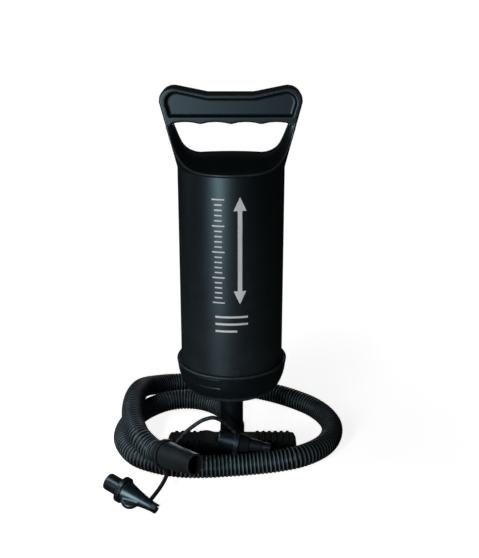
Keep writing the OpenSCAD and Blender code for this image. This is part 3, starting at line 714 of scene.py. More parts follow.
GREY = Finish(
    "grey_plastic", tone=(0.28, 0.29, 0.31), rubbed_and_highlight=(0.4, 0.41, 0.43), roughness=0.45, spread=0.2,
    grain=2200, bump=0.03,
)  # fmt: skip
STEEL = Finish(
    "zinc_steel", tone=(0.6, 0.61, 0.63), rubbed_and_highlight=(0.75, 0.75, 0.75), roughness=0.32, spread=0.25,
    grain=1500, bump=0.02, wear_and_highlight=120, metal=1.0,
)  # fmt: skip
PRINT_WHITE = Finish(
    "print_white", tone=(0.86, 0.88, 0.89), rubbed_and_highlight=(0.9, 0.9, 0.9), roughness=0.5, spread=0.2,
    grain=1500, bump=0.01,
)  # fmt: skip

SLOT_FINISH = {
    Slot.BLACK_SHELL: SATIN_BLACK,
    Slot.SOFT_BLACK: CUFF_BLACK,
    Slot.HOSE: HOSE_BLACK,
    Slot.NOZZLE: GLOSS_BLACK,
    Slot.RUBBER: RUBBER,
    Slot.NATURAL: NATURAL,
    Slot.GREY: GREY,
    Slot.STEEL: STEEL,
}


@dataclass
class Assembly:
    """What every sub-assembly of the pump shares."""

    effects: Effects

    def dress(
        self,
        obj: bpy.types.Object,
        body: Body,
        slot: Slot,
        nodes: Sequence[str] = (),
        finish: Finish | None = None,
    ) -> bpy.types.Object:
        """Give a piece its finish, and let it ride on its body.

        Args:
            obj: The piece.
            body: The body that it moves with.
            slot: The record's material slot.
            nodes: CAD nodes that it stands for.
            finish: Its finish, where that isn't the slot's own.

        Returns:
            The same piece.
        """
        obj.data.materials.clear()
        obj.data.materials.append((finish or SLOT_FINISH[slot]).material(self.effects))
        if "edge" not in obj.data.attributes:
            mark_edges(obj)
        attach(obj, body.value)
        if nodes:
            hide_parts(*nodes)
        LOG.info("%s: %d points, on %s", obj.name, len(obj.data.vertices), body.value)
        return obj


def plain_mesh(obj: bpy.types.Object) -> bpy.types.Object:
    """Replace an object by one of the same name that holds its evaluated mesh.

    Args:
        obj: The object with its modifiers.

    Returns:
        The new object.
    """
    graph = bpy.context.evaluated_depsgraph_get()
    mesh = bpy.data.meshes.new_from_object(obj.evaluated_get(graph))
    name = obj.name
    bpy.data.objects.remove(obj)
    mesh.name = name
    return linked(name, mesh)


class FormTree:
    """A Geometry Nodes tree with named inputs, which puts out real geometry in one material."""

    def __init__(self, name: str, inputs: dict[str, str]) -> None:
        """Start the tree and make its sockets.

        Args:
            name: Name of the tree.
            inputs: Socket type of each input between the geometry and the finish.
        """
        self.tree = bpy.data.node_groups.new(name, "GeometryNodeTree")
        face = self.tree.interface
        face.new_socket("Geometry", in_out="INPUT", socket_type="NodeSocketGeometry")
        self.ids = {}
        for label, kind in (inputs | {"Finish": "NodeSocketMaterial"}).items():
            self.ids[label] = face.new_socket(label, in_out="INPUT", socket_type=kind).identifier
        face.new_socket("Geometry", in_out="OUTPUT", socket_type="NodeSocketGeometry")
        self.wiring = NodeTree(self.tree)
        self.given = self.wiring.add("NodeGroupInput").outputs

    def end(self, geometry: bpy.types.NodeSocket) -> None:
        """Make all instances real, give them the finish and put them out.

        Args:
            geometry: What the tree has made.
        """
        t = self.wiring
        real = t.add("GeometryNodeRealizeInstances", {0: geometry}).outputs[0]
        paint = t.add("GeometryNodeSetMaterial", {"Geometry": real, "Material": self.given["Finish"]})
        t.add("NodeGroupOutput", {0: paint.outputs[0]})

    def run(self, obj: bpy.types.Object, values: dict[str, object]) -> bpy.types.Object:
        """Run the tree on an object with these inputs, and make the result a plain mesh.

        Args:
            obj: The object that the tree works on.
            values: The tree's inputs.

        Returns:
            An object of the same name that holds the result.
        """
        modifier = obj.modifiers.new("form", "NODES")
        modifier.node_group = self.tree
        for label, value in values.items():
            modifier[self.ids[label]] = value
        return plain_mesh(obj)


class Repeat(FormTree):
    """Tree that repeats a form in a row to both sides, or round the axis.

    Start and Pitch are metres in a row, and radians round the axis.
    """

    def __init__(self, layout: Layout) -> None:
        """Build the tree for one layout.

        Args:
            layout: Whether the copies stand in a row or round the axis.
        """
        kinds = {"Count": "NodeSocketInt", "Start": "NodeSocketFloat", "Pitch": "NodeSocketFloat"}
        super().__init__(f"repeat_{layout.value}", kinds)
        t, given = self.wiring, self.given
        index = t.add("GeometryNodeInputIndex").outputs[0]
        along = t.math("ADD", t.math("MULTIPLY", index, given["Pitch"]), given["Start"])
        line = t.add("GeometryNodeMeshLine", {"Count": given["Count"], "Offset": (0, 0, 0)}).outputs[0]
        copies = {"Instance": given[0], "Points": line}
        if layout is Layout.ROW:
            both = t.add("GeometryNodeJoinGeometry")
            for sign in (1, -1):
                spot = t.add("ShaderNodeCombineXYZ", {"X": t.math("MULTIPLY", along, sign)}).outputs[0]
                row = t.add("GeometryNodeSetPosition", {"Geometry": line, "Position": spot})
                t.feed(both.inputs[0], row.outputs[0])
            copies["Points"] = both.outputs[0]
        else:
            copies["Rotation"] = t.add("ShaderNodeCombineXYZ", {"Z": along}).outputs[0]
        self.end(t.add("GeometryNodeInstanceOnPoints", copies).outputs[0])


class CordTree(FormTree):
    """Tree that lays a ribbed tube or a plain round cord along a curve."""

    CREST_POWER = 0.6

    def __init__(self) -> None:
        """Build the tree."""
        kinds = {label: "NodeSocketInt" for label in ("Ribs", "Steps per rib", "Sides")}
        kinds |= {label: "NodeSocketFloat" for label in ("Groove radius", "Rib height", "Bore radius")}
        super().__init__("ribbed_cord", kinds)
        both = self.wiring.add("GeometryNodeJoinGeometry")
        for wall in (self.ribbed_wall(), self.bore_wall()):
            self.wiring.feed(both.inputs[0], wall)
        self.end(both.outputs[0])

    def even(self, steps: bpy.types.NodeSocket) -> bpy.types.NodeSocket:
        """Divide the curve into equal steps.

        Args:
            steps: How many.

        Returns:
            The divided curve.
        """
        t = self.wiring
        inputs = {"Curve": self.given[0], "Count": t.math("ADD", steps, 1)}
        return t.add("GeometryNodeResampleCurve", inputs).outputs[0]

    def tube(self, curve: bpy.types.NodeSocket, radius: str) -> bpy.types.NodeSocket:
        """Draw a round tube with one of the radii along a curve.

        Args:
            curve: The curve that the tube follows.
            radius: Name of the input that gives its radius.

        Returns:
            The tube.
        """
        t, given = self.wiring, self.given
        sizes = {"Resolution": given["Sides"], "Radius": given[radius]}
        ring = t.add("GeometryNodeCurvePrimitiveCircle", sizes).outputs[0]
        return t.add("GeometryNodeCurveToMesh", {"Curve": curve, "Profile Curve": ring}).outputs[0]

    def ribbed_wall(self) -> bpy.types.NodeSocket:
        """Build the outside, which swells into ribs and keeps their wave as the attribute edge.

        Returns:
            The outside.
        """
        t, given = self.wiring, self.given
        index = t.add("GeometryNodeInputIndex").outputs[0]
        phase = t.math("MULTIPLY", t.math("DIVIDE", index, given["Steps per rib"]), 2 * math.pi)
        wave = t.math("ADD", t.math("MULTIPLY", t.math("COSINE", phase), -0.5), 0.5)
        curve = self.even(t.math("MULTIPLY", given["Ribs"], given["Steps per rib"]))
        # The hose's finish paints a highlight on the rib crests by this wave.
        kept = {"Geometry": curve, "Name": "edge", "Value": wave}
        curve = t.add("GeometryNodeStoreNamedAttribute", kept, data_type="FLOAT", domain="POINT").outputs[0]
        wall = self.tube(curve, "Groove radius")
        rib = t.add("GeometryNodeInputNamedAttribute", {"Name": "edge"}, data_type="FLOAT").outputs[0]
        height = t.math("MULTIPLY", t.math("POWER", rib, self.CREST_POWER), given["Rib height"])
        normal = t.add("GeometryNodeInputNormal").outputs[0]
        push = t.add("ShaderNodeVectorMath", {0: normal, "Scale": height}, operation="SCALE").outputs[0]
        return t.add("GeometryNodeSetPosition", {"Geometry": wall, "Offset": push}).outputs[0]

    def bore_wall(self) -> bpy.types.NodeSocket:
        """Build the inside, with one ring to a rib and its faces turned inwards."""
        wall = self.tube(self.even(self.given["Ribs"]), "Bore radius")
        return self.wiring.add("GeometryNodeFlipFaces", {0: wall}).outputs[0]

    def lay(self, name: str, line: Sequence[Vector], values: dict[str, object]) -> bpy.types.Object:
        """Lay the tube along a line, with closed ends.

        Args:
            name: Name of the piece.
            line: The line's points in metres.
            values: The tree's inputs.

        Returns:
            The tube as a plain mesh.
        """
        curve = bpy.data.curves.new(name, "CURVE")
        curve.dimensions = "3D"
        curve.twist_mode = "Z_UP"
        spline = curve.splines.new("POLY")
        spline.points.add(len(line) - 1)
        for point, spot in zip(spline.points, line):
            point.co = (*spot, 1)
        tube = self.run(linked(name, curve), values)
        near = 2 * values["Groove radius"]
        bm = bmesh.new()
        bm.from_mesh(tube.data)
        for end in (line[0], line[-1]):
            rim = [e for e in bm.edges if e.is_boundary and (e.verts[0].co - end).length < near]
            bmesh.ops.bridge_loops(bm, edges=rim)
        bmesh.ops.recalc_face_normals(bm, faces=bm.faces)
        bm.to_mesh(tube.data)
        bm.free()
        tube.data.shade_smooth()
        return tube


@dataclass
class BarrelAssembly(Assembly):
    """The barrel with its shoulder and moulded handle, and the snap lugs at its foot."""

    barrel_r: float = 39.0
    bore_r: float = 36.8
    foot_z: float = 82.0
    shoulder_z: float = 244.0
    ceiling_z: float = 239.0
    handle_w: float = 102.0
    half_depth: float = 10.5
    ear: Point = (40.5, 289.5)
    ear_r: float = 10.5
    flat: Point = (16.5, 295.4)
    scoop_r: float = 27.5
    window_top: float = 274.2
    window_half: float = 42.0
    window_corner: Point = (22.0, 266.8)
    window_r: float = 15.0
    window_crown: float = 0.7
    recess_rim: float = 3.0
    recess_end: float = 4.8
    recess_depth: float = 3.5
    recess_band: float = 5.5
    scallop_pitch: float = 21.5
    scallop_depth: float = 1.75
    edge_r: float = 1.6
    ridge_r: float = 9.0
    ridge_z: Point = (262.0, 276.0)
    lip_r: float = 1.0
    bead_r: float = 0.9
    recess_r: float = 1.7
    cut_z: float = 236.0
    lug_z: Point = (83.5, 91.0)
    lug_r: float = 41.6
    lug_lean: float = 0.12
    lug_angle: float = 25.0
    lug_first: float = 246.0
    lug_count: int = 4
    lug_root: float = 36.0
    lug_sink: float = 0.6
    lug_edge: float = 0.5
    lug_net: float = 0.45
    scallops: int = 4
    scallop_edge: float = 0.8
    leg_fillet: float = 2.0
    bead_z: Point = (272.0, 278.0)
    bead_fillet: float = 0.5
    pocket_fillet: float = 2.4
    pocket_edge: float = 0.8
    net: float = 0.8
    net_depth: float = 42.0
    net_gap: float = 2.0
    tube_rounding: float = 0.6
    tube_sides: int = 160

    def flare(self) -> Point:
        """Give the height from which the sides lean out, and their slope."""
        start = self.shoulder_z - 1
        return start, (self.handle_w / 2 - self.barrel_r) / (self.ear[1] - start)

    def grip_outline(self, x: np.ndarray, z: np.ndarray, inset: float, end: float, low: float) -> np.ndarray:
        """Measure to the grip's front outline.

        Args:
            x: First coordinate of the points.
            z: Height of the points.
            inset: How far the outline is drawn in.
            end: How far it is drawn in at the ears' sides.
            low: Height at which it is cut off level.

        Returns:
            The distances, negative inside.
        """
        r = self.ear_r - inset
        ear = (self.ear[0] + inset - end, self.ear[1])
        flat = (self.flat[0], self.flat[1] - inset)
        flare_z, slope = self.flare()
        side = self.barrel_r + (low - flare_z) * slope - end
        half = [(side, low), (ear[0] + r, ear[1]), ear, touch(flat, ear, r), flat]
        out = polygon_distance(x, z, half + mirrored(half))
        return np.minimum(out, np.hypot(np.abs(x) - ear[0], z - ear[1]) - r)

    def window_outline(self, x: np.ndarray, z: np.ndarray) -> np.ndarray:
        """Measure to the hand window's outline, whose floor is crowned.

        Args:
            x: First coordinate of the points.
            z: Height of the points.

        Returns:
            The distances, negative inside.
        """
        c = self.window_corner
        z = z - self.window_crown * np.clip(1 - (x / c[0]) ** 2, 0, 1)
        top = (self.window_half, self.window_top)
        r = self.window_r
        half = [(c[0], c[1] - r), c, touch(top, c, r), top, (top[0], self.ear[1] + 1)]
        out = polygon_distance(x, z, half + mirrored(half))
        return np.minimum(out, np.hypot(np.abs(x) - c[0], z - c[1]) - r)

    def handle_form(self, x: np.ndarray, y: np.ndarray, z: np.ndarray) -> np.ndarray:
        """Measure to the shoulder, legs and grip, with their edges rounded.

        Args:
            x: First coordinate of the points.
            y: Second coordinate of the points.
            z: Height of the points.

        Returns:
            The distances, negative inside.
        """
        depth = np.abs(y)
        grip = self.grip_outline(x, z, 0, 0, self.window_top)
        pitch, dip = self.scallop_pitch, self.scallop_depth
        r = (pitch**2 / 4 + dip**2) / (2 * dip)
        for i in range(self.scallops):
            middle = (i - (self.scallops - 1) / 2) * pitch
            finger = r - np.hypot(x - middle, z - (self.window_top + dip - r))
            grip = round_max(grip, finger, self.scallop_edge)
        legs = np.maximum(-self.window_outline(x, z), z - self.ear[1])
        front = round_min(grip, legs, self.leg_fillet)
        cy, cz = self.half_depth + self.scoop_r, self.shoulder_z + self.scoop_r
        scoop = self.scoop_r - np.hypot(np.minimum(depth, cy) - cy, np.minimum(z, cz) - cz)
        low, high = self.ridge_z
        share = np.clip((high - z) / (high - low), 0, 1)
        swell = (self.ridge_r - self.edge_r) * share**2 * (3 - 2 * share)
        body = round_max(front, scoop, self.edge_r + swell)
        flare_z, slope = self.flare()
        side = np.hypot(x, y) - self.barrel_r - slope * np.clip(z - flare_z, 0, self.ear[1] - flare_z)
        low, high = self.bead_z
        bead_r = self.bead_r * np.clip((high - z) / (high - low), 0, 1)
        bead = np.hypot(side + self.bead_r / 2, body + self.bead_r / 2) - bead_r
        body = round_min(round_max(body, side, self.lip_r), bead, self.bead_fillet)
        floor = self.half_depth - self.recess_depth
        r = self.recess_r
        low = self.window_top + self.recess_band + r
        pocket = self.grip_outline(x, z, self.recess_rim + r, self.recess_end + r, low) - r
        pocket = round_max(pocket, floor - depth, self.pocket_fillet)
        return round_max(body, -pocket, self.pocket_edge)

    def build(self) -> None:
        """Build and dress the barrel with its handle, and the lugs."""
        x, y = self.handle_w / 2 + self.net_gap, self.net_depth
        top = self.ear[1] + self.ear_r + self.net_gap
        handle = surface_net(self.handle_form, (-x, -y, self.cut_z), (x, y, top), self.net)
        section = Profile(
            [
                (0, self.ceiling_z),
                (self.bore_r, self.ceiling_z),
                (self.bore_r, self.foot_z),
                (self.barrel_r, self.foot_z),
                (self.barrel_r, self.cut_z - 1),
            ],
            rounding=self.tube_rounding,
            closed=False,
        )
        tube = section.turned(self.tube_sides, pole=True)
        shell = handle.joined(tube).piece("barrel_and_handle", bridge=True)
        self.dress(shell, Body.BARREL, Slot.BLACK_SHELL, ["pump_barrel"])
        self.build_lugs()

    def build_lugs(self) -> None:
        """Build the snap lugs that show in the windows of the end cap."""
        half = math.radians(self.lug_angle / 2)
        low, high = self.lug_z
        mid = (low + high) / 2

        def form(x: np.ndarray, y: np.ndarray, z: np.ndarray) -> np.ndarray:
            """Measure to one lug on the +X side.

            Args:
                x: First coordinate of the points.
                y: Second coordinate of the points.
                z: Height of the points.

            Returns:
                The distances, negative inside.
            """
            r = np.hypot(x, y)
            root = self.barrel_r - self.lug_sink
            wall = np.maximum(r - self.lug_r - self.lug_lean * (z - mid), root - r)
            side = (np.abs(np.arctan2(y, x)) - half) * self.barrel_r
            block = round_max(wall, side, self.lug_edge)
            return round_max(block, np.abs(z - mid) - (high - low) / 2, self.lug_edge)

        y = self.lug_r * math.sin(half) + 1
        lug = surface_net(form, (self.lug_root, -y, low - 1), (self.lug_r + 1, y, high + 1), self.lug_net)
        values = {
            "Count": self.lug_count,
            "Start": math.radians(self.lug_first),
            "Pitch": 2 * math.pi / self.lug_count,
            "Finish": CUFF_BLACK.material(self.effects),
        }
        lugs = Repeat(Layout.ROUND).run(lug.piece("snap_lugs"), values)
        self.dress(lugs, Body.BARREL, Slot.BLACK_SHELL, finish=CUFF_BLACK)


@dataclass
class CapAssembly(Assembly):
    """The end cap that closes the barrel's foot, with its snap windows."""

    cap_r: float = 42.5
    collar_z: float = 93.5
    lip_z: float = 92.8
    band_z: float = 87.0
    draft: float = 0.9
    turn: Point = (36.9, 72.8)
    boss: Point = (14.75, 63.7)
    cap_z: float = 62.2
    ledge_z: float = 80.0
    wall: float = 2.6
    hold_r: float = 39.15
    ledge_r: float = 36.65
    tower: Point = (15.0, 92.0)
    gland_r: float = 12.0
    window_z: Point = (83.2, 91.3)
    window_angle: float = 26.0
    window_first: float = 246.0
    windows: int = 4
    segments: int = 360
    under_pull: Point = (2.3, 5.2)
    band_pull: Point = (0.6, 6.5)
    lip_in: float = 0.6
    boss_in: float = 0.5
    rounding: float = 0.35
    arc_steps: int = 10
    floor_steps: int = 8

    def section(self) -> list[Point]:
        """Draw the cap's section, with its solid on the left.

        Returns:
            The section's corners.
        """
        turn, (dx, dz) = self.turn, self.under_pull
        floor = (turn[0] - self.wall, turn[1] + self.wall)
        tower_foot = (self.tower[0], self.boss[1] + self.wall)
        inner = bend(floor, (floor[0] - dx, floor[1] - dz), tower_foot, self.floor_steps)
        band = (self.cap_r - self.draft, self.band_z)
        pull = (band[0] - self.band_pull[0], band[1] - self.band_pull[1])
        outer = bend(band, pull, turn, self.arc_steps)
        under = bend(turn, (turn[0] - dx, turn[1] - dz), self.boss, self.arc_steps)
        outside = [(self.gland_r, self.cap_z), (self.boss[0] - self.boss_in, self.cap_z)]
        outside += under[::-1] + outer[::-1][1:]
        low, high = self.window_z
        cut = next(i for i, p in enumerate(outside) if p[1] > low)
        a, b = outside[cut - 1], outside[cut]
        share = (low - a[1]) / (b[1] - a[1])
        outside.insert(cut, (a[0] + share * (b[0] - a[0]), low))
        fall = self.draft * (self.lip_z - high) / (self.lip_z - self.band_z)
        lip = (self.cap_r - self.lip_in, self.collar_z)
        outside += [(self.cap_r - fall, high), (self.cap_r, self.lip_z), lip]
        hold, ledge = self.hold_r, self.ledge_r
        inside = [(hold, self.collar_z - 1), (hold, high), (hold, low), (hold, self.ledge_z)]
        inside += [(ledge, self.ledge_z), (ledge, floor[1] + self.wall)]
        return outside + inside + inner + [self.tower, (self.gland_r, self.tower[1])]

    def level(self, spots: np.ndarray, z: float, outside: bool) -> int:
        """Find the row of the section's points at a height, on the collar's outside or inside."""
        near = np.abs(spots[:, 1] - z) < 1e-6
        return int(np.flatnonzero(near & ((spots[:, 0] > self.hold_r + 0.1) == outside))[0])

    def build(self) -> None:
        """Build the turned cap, open its snap windows and dress it."""
        section = Profile(self.section(), rounding=self.rounding, steps=3)
        shell = section.turned(self.segments)
        spots, _ = section.drawn()
        low, high = self.window_z
        outer = [self.level(spots, z, True) for z in (low, high)]
        inner = [self.level(spots, z, False) for z in (low, high)]
        rows = {*range(outer[0], outer[1]), *range(inner[1], inner[0])}
        n = self.segments
        half = self.window_angle / 2
        faces = []
        opened = set()
        for k in range(self.windows):
            middle = self.window_first + k * 360 / self.windows
            first, last = (round((middle + side) * n / 360) for side in (-half, half))
            for j in range(first, last):
                a, b = j % n, (j + 1) % n
                opened.add(a)
                for one, two in ((outer[0], inner[0]), (inner[1], outer[1])):
                    faces.append([one * n + a, one * n + b, two * n + b, two * n + a])
            for j, step in ((first, 1), (last, -1)):
                around = [*range(outer[0], outer[1] + 1), inner[1], inner[0]]
                faces.append([i * n + j % n for i in around[::step]])
        for i in range(len(spots)):
            faces += [shell.faces[i * n + j] for j in range(n) if i not in rows or j not in opened]
        shell.faces = faces
        cap = shell.piece("end_cap_bowl")
        self.dress(cap, Body.BARREL, Slot.BLACK_SHELL, ["end_cap"])


@dataclass
class StemAssembly(Assembly):
    """The fixed stem that the barrel slides on."""

    radius: float = 9.0
    bore_r: float = 7.4
    low_z: float = 3.0
    high_z: float = 213.1
    rounding: float = 0.4
    sides: int = 96

    def build(self) -> None:
        """Turn and dress the stem."""
        r, bore, low, high = self.radius, self.bore_r, self.low_z, self.high_z
        section = Profile([(bore, low), (r, low), (r, high), (bore, high)], rounding=self.rounding)
        stem = section.turned(self.sides).piece("stem")
        self.dress(stem, Body.BASE, Slot.BLACK_SHELL, ["stem_tube"], FOOT_BLACK)


@dataclass
class FootAssembly(Assembly):
    """The foot bar with its hub, air ports and tread ribs."""

    bar_half: float = 53.0
    mid_half: float = 11.0
    end_front: float = 7.5
    end_back: float = 10.5
    corner_r: float = 5.0
    shoulder_x: float = 12.0
    bar_h: float = 20.5
    slope: Point = (1.0, 3.0)
    drop: float = 3.0
    hub_r: float = 12.5
    hub_h: float = 22.0
    fillet: Point = (9.7, 24.5)
    stem_r: float = 9.05
    stem_seat: float = 3.0
    port_z: float = 11.2
    port_r: float = 8.65
    boss_r: float = 10.6
    port_face: float = 16.15
    suction_x: float = -21.0
    suction_face: float = 11.0
    suction_reach: float = 7.0
    cover_rim: float = 2.0
    cover_t: float = 2.0
    tread_first: float = 20.7
    tread_pitch: float = 4.9
    tread_count: int = 6
    tread_r: float = 1.6
    tread_h: float = 1.4
    tread_edge: float = 0.6
    tread_in: float = 0.5
    tread_net: float = 0.35
    edge_r: float = 1.3
    hub_edge: float = 0.8
    hub_top_edge: float = 0.4
    hub_fillet: float = 1.5
    boss_edge: float = 0.7
    boss_fillet: float = 1.0
    boss_wall: float = 3.0
    port_stop: float = 9.0
    port_depth: float = 7.0
    port_edge: float = 0.4
    hole_edge: float = 0.3
    cover_edge: float = 0.2
    net: float = 0.6
    net_front: float = -14.0
    net_gap: float = 1.5

    def plan(self, x: np.ndarray, y: np.ndarray, inset: float) -> np.ndarray:
        """Measure to the bar's plan, drawn in by inset.

        Args:
            x: First coordinate of the points.
            y: Second coordinate of the points.
            inset: How far it is drawn in.

        Returns:
            The distances, negative inside.
        """
        end_x, mid_y = self.bar_half - inset, self.mid_half - inset
        front, back = inset - self.end_front, self.end_back - inset
        c = self.corner_r
        half = [
            (self.shoulder_x, -mid_y),
            (end_x - c, front),
            (end_x, front + c),
            (end_x, back - c),
            (end_x - c, back),
            (self.shoulder_x, mid_y),
        ]
        out = polygon_distance(x, y, half + mirrored(half))
        for corner_y in (front + c, back - c):
            out = np.minimum(out, np.hypot(np.abs(x) - (end_x - c), y - corner_y) - c)
        return out

    def boss(self, r: np.ndarray, y: np.ndarray, low: float, high: float) -> np.ndarray:
        """Measure to a port's round boss between two depths."""
        mid, reach = (low + high) / 2, (high - low) / 2
        return round_max(r - self.boss_r, np.abs(y - mid) - reach, self.boss_edge)

    def form(self, x: np.ndarray, y: np.ndarray, z: np.ndarray) -> np.ndarray:
        """Measure to the bar, hub and ports.

        Args:
            x: First coordinate of the points.
            y: Second coordinate of the points.
            z: Height of the points.

        Returns:
            The distances, negative inside.
        """
        half = [
            (self.bar_half, 0),
            (self.bar_half - self.slope[0], self.bar_h - self.drop),
            (self.bar_half - self.slope[1], self.bar_h),
        ]
        side = polygon_distance(x, z, half + mirrored(half))
        bar = round_max(self.plan(x, y, 0), side, self.edge_r)
        r = np.hypot(x, y)
        cone = (self.hub_r - self.fillet[0]) / (self.fillet[1] - self.hub_h)
        lean = (r - self.hub_r + cone * (z - self.hub_h)) / math.hypot(1, cone)
        hub = round_max(np.maximum(r - self.hub_r, -z), lean, self.hub_edge)
        hub = round_max(hub, z - self.fillet[1], self.hub_top_edge)
        body = round_min(bar, hub, self.hub_fillet)
        pressure = np.hypot(x, z - self.port_z)
        suction = np.hypot(x - self.suction_x, z - self.port_z)
        back = -self.suction_reach - self.boss_wall
        body = round_min(body, self.boss(pressure, y, 0, self.port_face), self.boss_fillet)
        body = round_min(body, self.boss(suction, y, back, self.suction_face), self.boss_fillet)
        body = np.maximum(body, -z)
        for hole, edge in (
            (np.maximum(r - self.stem_r, self.stem_seat - z), self.hole_edge),
            (np.maximum(pressure - self.port_r, self.port_stop - y), self.port_edge),
            (np.maximum(suction - self.port_r, self.suction_face - self.port_depth - y), self.port_edge),
            (np.maximum(suction - self.port_r / 2, -self.suction_reach - y), self.hole_edge),
            (np.maximum(self.plan(x, y, self.cover_rim), z - self.cover_t), self.cover_edge),
        ):
            body = round_max(body, -hole, edge)
        return body

    def build(self) -> None:
        """Build and dress the bar and its treads."""
        gap = self.net_gap
        low = (-self.bar_half - gap, self.net_front, -gap)
        high = (self.bar_half + gap, self.port_face + gap, self.fillet[1] + gap)
        bar = surface_net(self.form, low, high, self.net).piece("foot_bar")
        self.dress(bar, Body.BASE, Slot.BLACK_SHELL, ["foot_base"], FOOT_BLACK)
        self.build_treads()

    def build_treads(self) -> None:
        """Build and dress the tread ribs on both ends of the bar."""
        reach = (self.end_front + self.end_back) / 2 - self.tread_in
        middle = (self.end_back - self.end_front) / 2
        z0 = self.bar_h + self.tread_h - self.tread_r

        def form(x: np.ndarray, y: np.ndarray, z: np.ndarray) -> np.ndarray:
            """Measure to one tread rib over the axis."""
            round_bar = np.hypot(x, z - z0) - self.tread_r
            return round_max(round_bar, np.abs(y - middle) - reach, self.tread_edge)

        size = self.tread_r + self.tread_edge
        low, high = middle - reach - 1, middle + reach + 1
        rib = surface_net(form, (-size, low, z0 - size), (size, high, z0 + size), self.tread_net)
        values = {
            "Count": self.tread_count,
            "Start": self.tread_first * MM,
            "Pitch": self.tread_pitch * MM,
            "Finish": FOOT_BLACK.material(self.effects),
        }
        treads = Repeat(Layout.ROW).run(rib.piece("foot_treads"), values)
        self.dress(treads, Body.BASE, Slot.BLACK_SHELL, finish=FOOT_BLACK)


@dataclass(frozen=True)
class Cuff:
    """The sizes of a hose cuff."""

    length: float
    hose_r: float = 8.95
    cuff_r: float = 10.3
    bead: float = 3.0
    seat: Point = (3.5, 7.5)
    seat_depth: float = 0.4
    body: float = 8.5
    mouth_r: float = 7.9
    mouth_bore: float = 6.6
    mouth_depth: float = 14.0
    stop_r: float = 5.8
    socket: float = 12.0
    rounding: float = 0.55
    sides: int = 96

    def shell(self) -> Shell:
        """Turn the cuff, with the hose's end at z = 0.

        Returns:
            The cuff's surface.
        """
        seat_r = self.cuff_r - self.seat_depth
        deep = self.length - self.mouth_depth
        corners = [
            (self.hose_r, 0),
            (self.cuff_r, 0),
            (self.cuff_r, self.bead),
            (seat_r, self.seat[0]),
            (seat_r, self.seat[1]),
            (self.cuff_r, self.body),
            (self.mouth_r, self.length),
            (self.mouth_bore, self.length),
            (self.mouth_bore, deep),
            (self.stop_r, deep),
            (self.stop_r, self.socket),
            (self.hose_r, self.socket),
        ]
        return Profile(corners, rounding=self.rounding).turned(self.sides)


